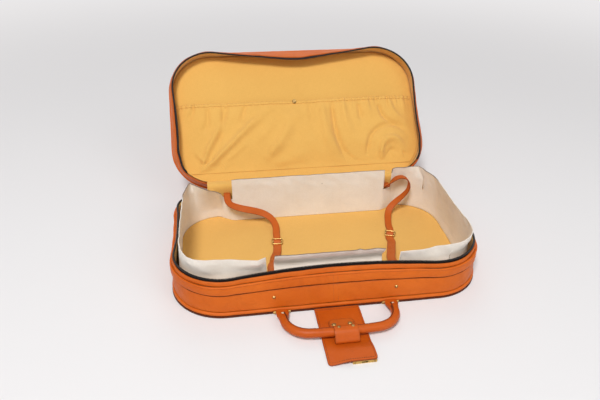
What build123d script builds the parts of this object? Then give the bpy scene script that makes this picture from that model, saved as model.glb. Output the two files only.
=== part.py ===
"""A soft leather suitcase lying open on its base half, with its lid leaning back.

The model's origin is the centre of the base's underside. X runs along the case, Y from the front
with the handle to the hinge, and Z up. Lengths are in millimetres and angles in degrees.
"""
import os
from math import atan2, cos, degrees, hypot, radians, sin

from build123d import *

# The case: its closed outline, the depth of each half and how the zipped rim is drawn in at the front
case_length = 550.0
case_depth = 315.0
corner_radius = 90.0
base_height = 72.0
lid_height = 38.0
rim_draw = 26.0
rim_corner_draw = 9.0

# The walls of both halves, from the outside in
leather = 2.6
frame_board = 1.8
lining_cloth = 1.0
panel_leather = 2.2
panel_board = 1.8
floor_cloth = 2.2
ceiling_cloth = 1.0
panel_edge_inset = 1.5
board_edge_inset = 4.6
welt_radius = 3.4
welt_inset = 0.9
welt_lift = 0.8
raised_band_drop = 15.0
raised_band_width = 14.0
raised_band_proud = 1.0

# The zip: tapes behind the leather, a row of teeth on each, and the parting gap between the rows
tape_thickness = 1.2
tape_width = 10.4
teeth_width = 4.0
teeth_height = 1.0
zip_gap = 1.2
tape_bare = 2.9
lining_top_gap = 0.4
zip_end_angle = 38.0
lid_zip_end_angle = 46.0

# The zip's sliders and their pulls
slider_length = 11.0
slider_height = 8.2
slider_plate = 1.0
slider_clearance = 0.5
slider_neck_length = 4.0
slider_neck_height = 0.8
slider_pin_radius = 0.7
slider_pin_clearance = 0.08
slider_pin_length = 8.0
slider_lug_thickness = 1.2
slider_lug_height = 2.6
slider_pin_reach = 1.6
slider_pin_drop = 1.6
pull_width = 5.2
pull_length = 22.0
pull_thickness = 1.1
pull_eye_radius = 1.6

# The hinge: a leather strip rolled round the line that the lid turns on
lid_lean = 47.0
hinge_reach = 3.2
hinge_roll_radius = 1.8
hinge_strip_thickness = 1.4
hinge_web = 1.2
hinge_strip_drop = 4.0
hinge_strip_width = 18.0
lid_strip_depth = 18.0
hinge_clearance = 0.1

# The cream walls that stand up inside, with notches where the straps pass
inner_wall_inset = 12.0
inner_wall_thickness = 1.6
inner_fold_drop = 16.0
fold_gap = 0.1
closed_gap = 2.0
front_flap_drop = 5.0
wrap_spread = 4.0
back_flap_inset = 30.5
front_flap_inset = 33.5
back_notch_width = 20.0
back_notch_reach = 27.0
front_notch_width = 24.0
front_notch_reach = 93.0
back_slope_reach = 60.0
back_slope_drop = 29.0
front_slope_reach = 20.0
front_slope_drop = 17.0

# The handle, its rings and the leather tabs that hold them
handle_half_spacing = 94.0
handle_pivot_reach = 7.0
handle_pivot_height = 7.5
handle_reach = 66.5
handle_corner_radius = 42.0
handle_leg_length = 13.5
handle_grip_radius = 8.0
handle_core_radius = 5.4
handle_end_radius = 4.2
handle_end_width = 23.0
handle_end_leg = 5.0
handle_end_thickness = 8.0
ring_bar_radius = 1.5
ring_side_radius = 1.2
ring_half_width = 13.6
ring_clearance = 0.08
ring_inner_reach = 3.1
ring_inner_height = 1.7
tab_width = 21.0
tab_reach = 5.1
tab_low = 0.2
tab_top = 3.2

# The flap under the handle, with its keeper loop and its lock
flap_width = 78.0
flap_reach = 131.5
flap_thickness = 2.6
flap_floor_gap = 0.2
flap_root_gap = 0.3
flap_corner_radius = 6.0
flap_rise_start = 46.0
flap_rise_end = 22.5
patch_width = 44.0
patch_length = 26.0
patch_thickness = 1.6
patch_reach = 34.0
patch_corner_radius = 6.0
keeper_width = 40.0
keeper_thickness = 2.0
keeper_play = 1.5
patch_stud_half = 13.5
keeper_stud_half = 11.5
patch_stud_radius = 4.0
keeper_stud_radius = 3.0
stud_rise = 1.8
lock_width = 38.0
lock_offset = 18.0
lock_length = 22.0
lock_height = 5.2
lock_plate_thickness = 1.2
lock_slot_width = 10.0
lock_slot_height = 2.2
lock_slot_depth = 9.0
lock_screw_radius = 1.5
lock_screw_half = 15.5
lock_screw_rise = 0.5
staple_plate_width = 30.0
staple_plate_length = 15.0
staple_plate_thickness = 1.2
staple_tongue_width = 8.6
staple_tongue_thickness = 1.6
staple_tongue_height = 4.6
staple_inset = 16.0
staple_rivet_half = 11.0
staple_rivet_radius = 1.8
staple_rivet_rise = 0.6

# The straps, their rivets and their buckles
strap_thickness = 2.0
back_strap_width = 14.0
front_strap_width = 16.0
front_strap_shift = 2.0
strap_tail_low = 20.0
strap_lift = 3.0
strap_wall_gap = 0.3
strap_floor_gap = 0.1
strap_swing = 100.0
rivet_height = 29.0
rivet_radius = 1.5
rivet_head_radius = 3.0
rivet_head_rise = 1.7
buckle_width = 22.0
buckle_length = 19.0
buckle_bar = 2.2
buckle_corner_radius = 2.5
buckle_ease = 0.3
left_buckle_inset = 107.0
left_buckle_drop = 32.5
left_buckle_turn = 5.0
right_buckle_inset = 35.0
right_buckle_drop = 34.5
right_buckle_turn = 20.0

# The lid's gathered pocket
pocket_side_gap = 35.0
pocket_low = 36.5
pocket_high = 187.0
pocket_middle_share = 0.45
pocket_cloth = 1.4
pocket_hem_width = 7.5
pocket_gap = 8.0
pocket_sag = 12.0
pocket_seat = 0.4
pocket_fold = 3.2
snap_cap_radius = 3.4
snap_cap_rise = 1.6
snap_post_radius = 2.6

# One length by which a cutting shape runs past what it cuts
overrun = 5.0


# Places worked out from the sizes above
run_x = case_length / 2 - corner_radius
run_y = case_depth / 2 - corner_radius
hinge_y = case_depth / 2 + hinge_reach
lining_face = leather + frame_board + lining_cloth
shell_floor = panel_leather + panel_board
welt_centre = panel_leather + welt_lift + welt_radius
wall_low = welt_centre + welt_radius
teeth_drop = zip_gap / 2 + teeth_height
tape_inset = leather
teeth_inset = tape_inset + tape_thickness / 2 - teeth_width / 2
chain_radius = corner_radius - tape_inset - tape_thickness / 2
floor_top = shell_floor + floor_cloth

raised_band_high = base_height - raised_band_drop
raised_band_low = raised_band_high - raised_band_width
hinge_strip_high = base_height - hinge_strip_drop
hinge_strip_low = hinge_strip_high - hinge_strip_width
inner_fold_height = base_height - inner_fold_drop
wrap_top = base_height + lid_height - shell_floor - ceiling_cloth - closed_gap
back_flap_half = run_x - back_notch_reach
back_notch_half = back_flap_half + back_notch_width
back_strap_place = back_flap_half + back_notch_width / 2
front_flap_half = run_x - front_notch_reach
front_notch_half = front_flap_half + front_notch_width
front_strap_place = front_flap_half + front_notch_width / 2 + front_strap_shift
back_flap_place = case_depth / 2 - back_flap_inset
front_flap_place = case_depth / 2 - front_flap_inset
pocket_width = case_length - 2 * pocket_side_gap

base_plane = Plane.XY
lean = radians(lid_lean)
lid_along = Vector(0, sin(lean), cos(lean))
lid_out = Vector(0, cos(lean), -sin(lean))
hinge_point = Vector(0, hinge_y, base_height)
lid_centre = hinge_point + lid_along * hinge_y + lid_out * lid_height
lid_plane = Plane(origin=lid_centre, x_dir=(-1, 0, 0), z_dir=-lid_out)

pivot_y = -case_depth / 2 - handle_pivot_reach
flap_tip = -case_depth / 2 - flap_reach
flap_top = flap_floor_gap + flap_thickness
lock_base = flap_floor_gap

base_levels = [shell_floor, wall_low, rivet_height, raised_band_low, raised_band_high,
               base_height - teeth_drop - tape_width, base_height - teeth_drop - tape_bare,
               base_height - teeth_drop - lining_top_gap, base_height - teeth_drop,
               base_height - zip_gap / 2]
lid_levels = [shell_floor, wall_low,
              lid_height - teeth_drop - tape_width, lid_height - teeth_drop - tape_bare,
              lid_height - teeth_drop - lining_top_gap, lid_height - teeth_drop,
              lid_height - zip_gap / 2]


def rim_share(level, height):
    """Gives how far the wall is drawn in at a level of one half of the case, as a share of the full draw."""
    return max(0, (level - wall_low) / (height - wall_low))


def keep(builder, name):
    """Labels a finished piece and writes it to its own file."""
    builder.part.label = name
    export_step(builder.part, f"parts/{name}.step")


def front_arc(inset, share):
    """Gives the corner centre's Y, the front arc's radius and its half angle, at a share of the full draw."""
    centre_y = -run_y + rim_corner_draw * share
    if share == 0:
        return centre_y, 0.0, 0.0
    radius = corner_radius - inset
    lift = centre_y - (rim_draw * share - case_depth / 2 + inset)
    front_radius = (run_x**2 + lift**2 - radius**2) / (2 * (radius - lift))
    return centre_y, front_radius, degrees(atan2(run_x, lift + front_radius))


def outline(inset, share):
    """Draws the case's outline in the open sketch, inset, and drawn in at the front by a share."""
    half_x = case_length / 2 - inset
    half_y = case_depth / 2 - inset
    radius = corner_radius - inset
    centre_y, front_radius, turn = front_arc(inset, share)
    with BuildLine() as lines:
        Line((run_x, half_y), (-run_x, half_y))
        CenterArc((-run_x, run_y), radius, 90, 90)
        Line((-half_x, run_y), (-half_x, centre_y))
        left = CenterArc((-run_x, centre_y), radius, 180, 90 + turn)
        right = CenterArc((run_x, centre_y), radius, 270 - turn, 90 + turn)
        if share == 0:
            Line(left @ 1, right @ 0)
        else:
            ThreePointArc(left @ 1, (0, rim_draw * share - half_y), right @ 0)
        Line((half_x, centre_y), (half_x, run_y))
        CenterArc((run_x, run_y), radius, 0, 90)
    make_face(lines.edges())


def front_face_y(x, height, inset):
    """Gives the Y of the base's front wall at a place along X and a height, inset from its outer face."""
    share = rim_share(height, base_height)
    _, front_radius, _ = front_arc(inset, share)
    drop = front_radius - (front_radius**2 - x**2) ** 0.5
    return rim_draw * share - case_depth / 2 + inset - drop


def shell_ring(plane, height, levels, low, high, inset, thickness):
    """Makes a ring of the wall between two heights, as straight lofts from level to level."""
    heights = [level for level in levels if low <= level <= high]
    for depth, mode in ((inset, Mode.ADD), (inset + thickness, Mode.SUBTRACT)):
        sections = []
        for level in heights:
            with BuildSketch(plane.offset(level)) as section:
                outline(depth, rim_share(level, height))
            sections.append(section.sketch)
        loft(sections, ruled=True, mode=mode)


def shell_plate(plane, low, thickness, inset):
    """Makes a flat plate of the case's outline."""
    with BuildSketch(plane.offset(low)) as plate:
        outline(inset, 0)
    extrude(plate.sketch, amount=thickness)


def cut_zip_gap(plane, end_angle):
    """Cuts a zip's ring away along the hinge, up to an angle round each back corner."""
    end_x = run_x + chain_radius * sin(radians(end_angle))
    with BuildSketch(plane.offset(-overrun)) as gap:
        with Locations((0, case_depth / 2)):
            Rectangle(2 * end_x, case_depth)
    extrude(gap.sketch, amount=base_height + 2 * overrun, mode=Mode.SUBTRACT)


def round_bar(start, end, radius):
    """Makes a round bar between two points."""
    along = Vector(*end) - Vector(*start)
    with BuildSketch(Plane(origin=start, z_dir=along)) as section:
        Circle(radius)
    extrude(section.sketch, amount=along.length)


def rivet_places():
    """Gives the places of the strap rivets, as X and the side of the case, with the front's below zero."""
    return [(side_x * place, side_y) for place, side_y in ((front_strap_place, -1), (back_strap_place, 1))
            for side_x in (-1, 1)]


def cut_rivets():
    """Drills the strap rivets' holes through whatever is being built."""
    for x, side_y in rivet_places():
        with BuildSketch(Plane(origin=(x, 0, rivet_height), z_dir=(0, side_y, 0))) as hole:
            Circle(rivet_radius)
        extrude(hole.sketch, amount=case_depth, mode=Mode.SUBTRACT)


def build_shell(name, plane, height, levels):
    """Makes the panel, boards, welt, linings and zip that both halves of the case have."""
    with BuildPart() as panel:
        shell_plate(plane, 0, panel_leather, panel_edge_inset)
    keep(panel, f"{name}_panel")

    with BuildPart() as board:
        shell_plate(plane, panel_leather, panel_board, board_edge_inset)
    keep(board, f"{name}_board")

    with BuildSketch(plane.offset(welt_centre)) as path_face:
        outline(welt_inset, 0)
    path = path_face.sketch.face().outer_wire()
    with BuildPart() as welt:
        with BuildSketch(Plane(origin=path @ 0, z_dir=path % 0)):
            Circle(welt_radius)
        sweep(path=path)
    keep(welt, f"{name}_welt")

    tape_low = height - teeth_drop - tape_width
    with BuildPart() as frame:
        shell_ring(plane, height, levels, wall_low, tape_low, leather, frame_board)
        if name == "base":
            cut_rivets()
    keep(frame, f"{name}_frame")

    with BuildPart() as lining:
        lining_top = height - teeth_drop - lining_top_gap
        shell_ring(plane, height, levels, shell_floor, lining_top, leather + frame_board, lining_cloth)
        if name == "base":
            cut_rivets()
    keep(lining, f"{name}_side_lining")

    end_angle = zip_end_angle if name == "base" else lid_zip_end_angle
    with BuildPart() as tape:
        shell_ring(plane, height, levels, tape_low, height - teeth_drop, tape_inset, tape_thickness)
        cut_zip_gap(plane, end_angle)
    keep(tape, f"{name}_zip_tape")

    with BuildPart() as teeth:
        shell_ring(plane, height, levels, height - teeth_drop, height - zip_gap / 2, teeth_inset, teeth_width)
        cut_zip_gap(plane, end_angle)
    keep(teeth, f"{name}_zip_teeth")


def build_base_bands():
    """Makes the base's three bands of leather and its padded floor."""
    top = base_height - teeth_drop - tape_bare
    for name, low, high, proud in (("base_lower_band", wall_low, raised_band_low, 0),
                                   ("base_raised_band", raised_band_low, raised_band_high, raised_band_proud),
                                   ("base_top_band", raised_band_high, top, 0)):
        with BuildPart() as band:
            shell_ring(base_plane, base_height, base_levels, low, high, -proud, leather + proud)
            if name == "base_lower_band":
                cut_rivets()
        keep(band, name)
    with BuildPart() as base_floor:
        shell_plate(base_plane, shell_floor, floor_cloth, lining_face)
    keep(base_floor, "base_floor")


def build_lid_wall():
    """Makes the lid's band of leather and the cloth on its inner face."""
    with BuildPart() as lid_wall:
        top = lid_height - teeth_drop - tape_bare
        shell_ring(lid_plane, lid_height, lid_levels, wall_low, top, 0, leather)
    keep(lid_wall, "lid_wall")
    with BuildPart() as lid_ceiling:
        shell_plate(lid_plane, shell_floor, ceiling_cloth, lining_face)
    keep(lid_ceiling, "lid_ceiling_lining")


def build_hinge():
    """Makes the hinge: the base's strip ends in a roll on the axis, the lid's strip hugs it."""
    roll = (hinge_y, base_height)
    outer = case_depth / 2
    with BuildPart() as hinge_strip:
        with BuildSketch(Plane(origin=(-run_x, 0, 0), x_dir=(0, 1, 0), z_dir=(1, 0, 0))):
            with BuildLine():
                Polyline((outer, hinge_strip_low), (outer + hinge_strip_thickness, hinge_strip_low),
                         (outer + hinge_strip_thickness, hinge_strip_high - hinge_web),
                         (hinge_y + hinge_web / 2, base_height),
                         (hinge_y - hinge_web / 2, base_height),
                         (outer, hinge_strip_high), close=True)
            make_face()
            with Locations((outer, (raised_band_low + raised_band_high) / 2)):
                Rectangle(2 * raised_band_proud, raised_band_high - raised_band_low, mode=Mode.SUBTRACT)
            with Locations(roll):
                Circle(hinge_roll_radius)
        extrude(amount=2 * run_x)
    keep(hinge_strip, "hinge_strip")

    hug = hinge_roll_radius + hinge_clearance
    back = case_depth / 2
    low = lid_height - lid_strip_depth
    high = lid_height - (base_height - hinge_strip_high)
    with BuildPart() as lid_hinge_strip:
        with BuildSketch(Plane(origin=lid_plane.from_local_coords(Vector(-run_x, 0, 0)),
                               x_dir=lid_plane.y_dir, z_dir=lid_plane.x_dir)):
            with BuildLine():
                Polyline((back, low), (back + hinge_strip_thickness, low),
                         (back + hinge_strip_thickness, high - hinge_web),
                         (hinge_y + hinge_web / 2, lid_height),
                         (hinge_y - hinge_web / 2, lid_height),
                         (back, high), close=True)
            make_face()
            with Locations((hinge_y, lid_height)):
                Circle(hug, mode=Mode.SUBTRACT)
        extrude(amount=2 * run_x)
    keep(lid_hinge_strip, "lid_hinge_strip")


def inner_outline(spread):
    """Draws the outline of the cream walls in the open sketch, spread outwards."""
    half_x = case_length / 2 - inner_wall_inset + spread
    half_y = case_depth / 2 - inner_wall_inset + spread
    radius = corner_radius - inner_wall_inset + spread
    back_y = back_flap_place + spread
    front_y = -front_flap_place - spread
    corner_y = rim_corner_draw - run_y
    with BuildLine() as lines:
        Polyline((run_x, half_y), (back_flap_half, back_y), (-back_flap_half, back_y), (-run_x, half_y))
        CenterArc((-run_x, run_y), radius, 90, 90)
        Line((-half_x, run_y), (-half_x, corner_y))
        CenterArc((-run_x, corner_y), radius, 180, 90)
        Polyline((-run_x, corner_y - radius), (-front_flap_half, front_y), (front_flap_half, front_y),
                 (run_x, corner_y - radius))
        CenterArc((run_x, corner_y), radius, 270, 90)
        Line((half_x, corner_y), (half_x, run_y))
        CenterArc((run_x, run_y), radius, 0, 90)
    make_face(lines.edges())


def build_inner_walls():
    """Makes the cream walls: the band round the floor, two wraps round the ends and two flaps."""
    with BuildPart() as inner_wall:
        with BuildSketch(Plane.XY.offset(floor_top)):
            inner_outline(0)
        extrude(amount=inner_fold_height - floor_top)
        with BuildSketch(Plane.XY.offset(floor_top)):
            inner_outline(-inner_wall_thickness)
        extrude(amount=inner_fold_height - floor_top, mode=Mode.SUBTRACT)
    keep(inner_wall, "inner_wall_band")

    for name, side in (("left_wrap", -1), ("right_wrap", 1)):
        with BuildPart() as wrap:
            for spread, mode in ((0, Mode.ADD), (-inner_wall_thickness, Mode.SUBTRACT)):
                with BuildSketch(Plane.XY.offset(inner_fold_height)):
                    inner_outline(spread)
                with BuildSketch(Plane.XY.offset(wrap_top)):
                    inner_outline(spread + wrap_spread)
                loft(ruled=True, mode=mode)
            with BuildSketch(Plane.XY.offset(inner_fold_height - overrun)):
                with BuildLine():
                    Polyline((-side * case_length, case_depth), (side * back_notch_half, case_depth),
                             (side * back_notch_half, 0), (side * front_notch_half, 0),
                             (side * front_notch_half, -case_depth), (-side * case_length, -case_depth),
                             close=True)
                make_face()
            extrude(amount=wrap_top, mode=Mode.SUBTRACT)
            slopes = [(run_x + front_slope_reach, wrap_top - front_slope_drop, front_notch_half, -case_depth)]
            if side < 0:
                slopes.append((run_x + back_slope_reach, wrap_top - back_slope_drop, back_notch_half, 0))
            for start, low, end, from_y in slopes:
                side_plane = Plane(origin=(0, from_y + case_depth, 0), x_dir=(1, 0, 0), z_dir=(0, -1, 0))
                with BuildSketch(side_plane):
                    with BuildLine():
                        Polyline((side * start, wrap_top), (side * end, low), (side * (end - overrun), low),
                                 (side * (end - overrun), wrap_top + overrun),
                                 (side * start, wrap_top + overrun), close=True)
                    make_face()
                extrude(amount=case_depth, mode=Mode.SUBTRACT)
        keep(wrap, name)

    front_top = wrap_top - front_flap_drop
    for name, half, place, top in (("back_flap", back_flap_half, back_flap_place, wrap_top),
                                   ("front_flap", front_flap_half, -front_flap_place, front_top)):
        low = inner_fold_height + fold_gap
        inward = -1 if place > 0 else 1
        with BuildPart() as flap:
            with BuildSketch(Plane.XY.offset(low)):
                with Locations((0, place + inward * inner_wall_thickness / 2)):
                    Rectangle(2 * half, inner_wall_thickness)
            extrude(amount=top - low)
        keep(flap, name)


def ribbon(stations, width):
    """Makes a strap through a list of stations, each a point and the way its width lies there."""
    points = [Vector(point) for point, _ in stations]
    sections = []
    for number, (point, across) in enumerate(stations):
        ahead = points[min(number + 1, len(points) - 1)]
        behind = points[max(number - 1, 0)]
        along = (ahead - behind).normalized()
        across = Vector(across)
        across = (across - along * across.dot(along)).normalized()
        with BuildSketch(Plane(origin=points[number], x_dir=across, z_dir=along)) as section:
            Rectangle(width, strap_thickness)
        sections.append(section.sketch)
    loft(sections, ruled=True)


def spaced(start, end, rows):
    """Gives a route's stations, from shares of the swing along X and of the way to the end along Y and Z."""
    return [((start[0] + strap_swing * row[0], start[1] + (end[1] - start[1]) * row[1],
              start[2] + (end[2] - start[2]) * row[2]), row[3:]) for row in rows]


# The routes of the straps between the notch that each one crosses and its buckle. A row's first number
# is a share of the swing along X, the next two are shares of the way to the buckle along Y and Z, and
# the last three are the way that the strap's width lies.
left_back_route_shares = [
    (0.000, 0.000, 0.000, 1.0, 0.0, 0.0), (0.000, 0.205, 0.006, 1.0, 0.0, 0.0),
    (0.020, 0.275, 0.077, 0.9, 0.4, 0.0), (0.090, 0.328, 0.149, 0.6, 0.7, 0.3),
    (0.220, 0.359, 0.232, 0.3, 0.75, 0.55), (0.440, 0.376, 0.348, 0.1, 0.75, 0.65),
    (0.670, 0.380, 0.503, 0.1, 0.75, 0.65), (0.820, 0.438, 0.638, 0.5, 0.75, 0.45),
    (0.900, 0.534, 0.754, 0.85, 0.5, 0.2), (0.925, 0.649, 0.861, 1.0, 0.1, 0.0),
    (0.915, 0.763, 0.938, 1.0, 0.0, 0.0)]
right_back_route_shares = [
    (0.000, 0.000, 0.000, 1.0, 0.0, 0.0), (-0.020, 0.154, -0.019, 1.0, 0.1, 0.0),
    (0.000, 0.197, -0.155, 0.8, 0.6, 0.0), (0.070, 0.206, -0.329, 0.3, 0.95, 0.0),
    (0.160, 0.206, -0.464, 0.0, 1.0, 0.0), (0.260, 0.214, -0.513, 0.0, 1.0, 0.0),
    (0.350, 0.223, -0.464, 0.0, 1.0, 0.0), (0.410, 0.244, -0.329, 0.0, 1.0, 0.0),
    (0.425, 0.266, -0.155, 0.0, 1.0, 0.0), (0.400, 0.283, 0.019, 0.0, 1.0, 0.0),
    (0.330, 0.296, 0.193, 0.0, 1.0, 0.1), (0.220, 0.313, 0.377, -0.2, 0.95, 0.2),
    (0.100, 0.335, 0.561, -0.5, 0.8, 0.2), (0.000, 0.387, 0.735, -0.75, 0.6, 0.1),
    (-0.060, 0.499, 0.880, -0.95, 0.3, 0.0), (-0.095, 0.629, 0.957, -1.0, 0.2, 0.0),
    (-0.125, 0.767, 0.986, -1.0, 0.3, 0.0)]
left_front_route_shares = [
    (0.247, 0.828, 0.986, 1.0, -0.1, 0.0), (0.190, 0.685, 0.851, 1.0, -0.2, 0.0),
    (0.100, 0.512, 0.561, 0.5, -0.3, 0.8), (0.040, 0.286, 0.251, 0.9, -0.1, 0.3),
    (0.010, 0.089, 0.010, 1.0, 0.0, 0.0), (0.000, 0.000, 0.000, 1.0, 0.0, 0.0)]
right_front_route_shares = [
    (0.400, 0.862, 0.986, 1.0, -0.3, 0.0), (0.370, 0.790, 0.919, 1.0, -0.3, 0.0),
    (0.250, 0.579, 0.658, 0.95, -0.3, 0.0), (0.100, 0.319, 0.309, 0.95, -0.3, 0.0),
    (0.005, 0.090, 0.010, 1.0, -0.05, 0.0), (0.000, 0.000, 0.000, 1.0, 0.0, 0.0)]


def build_straps():
    """Makes the four strap halves and the two buckles that join them."""
    half = strap_thickness / 2
    over = inner_fold_height + strap_lift
    lie = floor_top + strap_floor_gap + half
    bar_height = lie + half + strap_floor_gap
    crest = bar_height + buckle_bar + strap_floor_gap + half
    inside = buckle_length / 2 - buckle_bar - buckle_ease
    for name, side, buckle_x, buckle_y, turn, back_shares, front_shares in (
            ("left", -1, left_buckle_inset - run_x, run_y - left_buckle_drop, left_buckle_turn,
             left_back_route_shares, left_front_route_shares),
            ("right", 1, run_x - right_buckle_inset, run_y - right_buckle_drop, right_buckle_turn,
             right_back_route_shares, right_front_route_shares)):
        place = side * back_strap_place
        wall = case_depth / 2 - lining_face - strap_wall_gap - half
        ahead = Vector(-sin(radians(turn)), -cos(radians(turn)), 0)
        across = Vector(cos(radians(turn)), -sin(radians(turn)), 0)
        centre = Vector(buckle_x, buckle_y, 0)
        weave = [(-buckle_length / 2 - buckle_bar, lie), (-inside, lie),
                 (-buckle_bar / 2 - buckle_ease, crest), (buckle_bar / 2 + buckle_ease, crest),
                 (inside - 3 * buckle_ease, lie)]
        flip = 1 if back_shares[-1][3] > 0 else -1
        stations = [((place, wall, strap_tail_low), (1, 0, 0)),
                    ((place, wall, over - strap_thickness), (1, 0, 0))]
        end = (buckle_x, buckle_y, lie)
        stations += spaced((place, wall - strap_thickness, over), end, back_shares)
        stations += [(centre + ahead * step + Vector(0, 0, height), across * flip) for step, height in weave]
        with BuildPart() as back_strap:
            ribbon(stations, back_strap_width)
            cut_rivets()
        keep(back_strap, f"{name}_back_strap")

        place = side * front_strap_place
        low_y = front_face_y(place, strap_tail_low, lining_face) + strap_wall_gap + half
        high_y = front_face_y(place, over, lining_face) + strap_wall_gap + half
        stations = [(centre + ahead * step + Vector(0, 0, lie), across)
                    for step in (inside, buckle_length / 2 + buckle_bar)]
        stations += spaced((place, high_y + strap_thickness, over), end, front_shares)
        stations += [((place, high_y, over - strap_thickness), (1, 0, 0)),
                     ((place, low_y, strap_tail_low), (1, 0, 0))]
        with BuildPart() as front_strap:
            ribbon(stations, front_strap_width)
            cut_rivets()
        keep(front_strap, f"{name}_front_strap")

        with BuildPart() as buckle:
            with BuildSketch(Plane(origin=(buckle_x, buckle_y, bar_height), x_dir=across, z_dir=(0, 0, 1))):
                RectangleRounded(buckle_width, buckle_length, buckle_corner_radius)
                Rectangle(buckle_width - 2 * buckle_bar, buckle_length - 2 * buckle_bar, mode=Mode.SUBTRACT)
                Rectangle(buckle_width - buckle_bar, buckle_bar)
            extrude(amount=buckle_bar)
        keep(buckle, f"{name}_buckle")


def build_rivets():
    """Makes the rivets that hold the straps' ends to the base's front and back walls."""
    for name, side_y in (("front_rivets", -1), ("back_rivets", 1)):
        with BuildPart() as rivets:
            for x, side in rivet_places():
                if side != side_y:
                    continue
                if side < 0:
                    head = front_face_y(x, rivet_height - rivet_head_radius, 0)
                    tail = front_face_y(x, rivet_height, lining_face) + strap_wall_gap + strap_thickness
                else:
                    head = case_depth / 2
                    tail = case_depth / 2 - lining_face - strap_wall_gap - strap_thickness
                round_bar((x, tail, rivet_height), (x, head, rivet_height), rivet_radius)
                with BuildSketch(Plane(origin=(x, head, rivet_height), x_dir=(1, 0, 0), z_dir=(0, side, 0))):
                    Circle(rivet_head_radius)
                extrude(amount=rivet_head_rise, taper=40)
        keep(rivets, name)


def build_handle():
    """Makes the rolled handle, its core, the rings it swings on and the tabs that hold the rings."""
    grip_height = flap_top + keeper_thickness + keeper_play + handle_grip_radius
    pitch = atan2(grip_height - handle_pivot_height, handle_reach)
    plane = Plane(origin=(0, pivot_y, handle_pivot_height), x_dir=(1, 0, 0),
                  z_dir=(0, sin(pitch), cos(pitch)))
    leg_x = handle_half_spacing
    corner_x = leg_x - handle_corner_radius
    leg_end = -handle_end_radius - handle_end_leg - handle_leg_length
    depth = -hypot(handle_reach, grip_height - handle_pivot_height)
    rise = leg_end - depth
    grip_radius = (corner_x**2 + rise**2 - handle_corner_radius**2) / (2 * (rise - handle_corner_radius))
    turn = degrees(atan2(corner_x, grip_radius - rise))
    leg_start = -handle_end_radius - handle_end_leg

    def grip_path():
        """Draws the grip's centre line in the open line."""
        Line((-leg_x, leg_start), (-leg_x, leg_end))
        left = CenterArc((-corner_x, leg_end), handle_corner_radius, 180, 90 - turn)
        right = CenterArc((corner_x, leg_end), handle_corner_radius, 270 + turn, 90 - turn)
        ThreePointArc(left @ 1, (0, depth), right @ 0)
        Line((leg_x, leg_end), (leg_x, leg_start))

    with BuildPart() as core:
        with BuildLine(plane) as path:
            grip_path()
        with BuildSketch(Plane(origin=path.wire() @ 0, z_dir=path.wire() % 0)):
            Circle(handle_core_radius)
        sweep(path=path.wire())
    keep(core, "handle_core")

    with BuildPart() as handle:
        with BuildLine(plane) as path:
            grip_path()
        with BuildSketch(Plane(origin=path.wire() @ 0, z_dir=path.wire() % 0)):
            Circle(handle_grip_radius)
        sweep(path=path.wire())
        for side in (-1, 1):
            root = Plane(origin=plane.from_local_coords(Vector(side * leg_x, -handle_end_radius / 2, 0)),
                         x_dir=(1, 0, 0), z_dir=-plane.y_dir)
            with BuildSketch(root):
                Rectangle(handle_end_width, handle_end_thickness)
            with BuildSketch(root.offset(-handle_end_radius / 2 - leg_start)):
                Rectangle(handle_grip_radius * 2, handle_grip_radius * 2)
            loft(ruled=True)
            round_bar((side * leg_x - handle_end_width / 2, pivot_y, handle_pivot_height),
                      (side * leg_x + handle_end_width / 2, pivot_y, handle_pivot_height), handle_end_radius)
        with BuildSketch(Plane(origin=(0, pivot_y, handle_pivot_height), x_dir=(0, 1, 0), z_dir=(1, 0, 0))):
            Circle(ring_bar_radius + ring_clearance)
        extrude(amount=case_length / 2, both=True, mode=Mode.SUBTRACT)
        add(core.part, mode=Mode.SUBTRACT)
    keep(handle, "handle")

    inner_y = -case_depth / 2 - ring_inner_reach
    for name, side in (("left", -1), ("right", 1)):
        x = side * leg_x
        inner = [(x + end * ring_half_width, inner_y, ring_inner_height) for end in (-1, 1)]
        outer = [(x + end * ring_half_width, pivot_y, handle_pivot_height) for end in (-1, 1)]
        with BuildPart() as ring:
            round_bar(outer[0], outer[1], ring_bar_radius)
            round_bar(inner[0], inner[1], ring_side_radius)
            for near, far in zip(inner, outer):
                round_bar(near, far, ring_side_radius)
            with Locations(*inner, *outer):
                Sphere(ring_side_radius)
        keep(ring, f"{name}_handle_ring")

        with BuildPart() as tab:
            near = -case_depth / 2 + panel_edge_inset
            with BuildSketch(Plane.XY.offset(tab_low)):
                with Locations((x, near)):
                    Rectangle(tab_width, tab_reach + panel_edge_inset, align=(Align.CENTER, Align.MAX))
            extrude(amount=tab_top - tab_low)
            with BuildSketch(Plane.XY.offset(panel_leather)):
                with Locations((x, near)):
                    Rectangle(tab_width, panel_edge_inset + welt_inset, align=(Align.CENTER, Align.MAX))
            extrude(amount=tab_top, mode=Mode.SUBTRACT)
            with BuildSketch(Plane(origin=(x, inner_y, ring_inner_height), x_dir=(0, 1, 0), z_dir=(1, 0, 0))):
                Circle(ring_side_radius + ring_clearance)
            extrude(amount=tab_width, both=True, mode=Mode.SUBTRACT)
        keep(tab, f"{name}_handle_tab")


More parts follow.
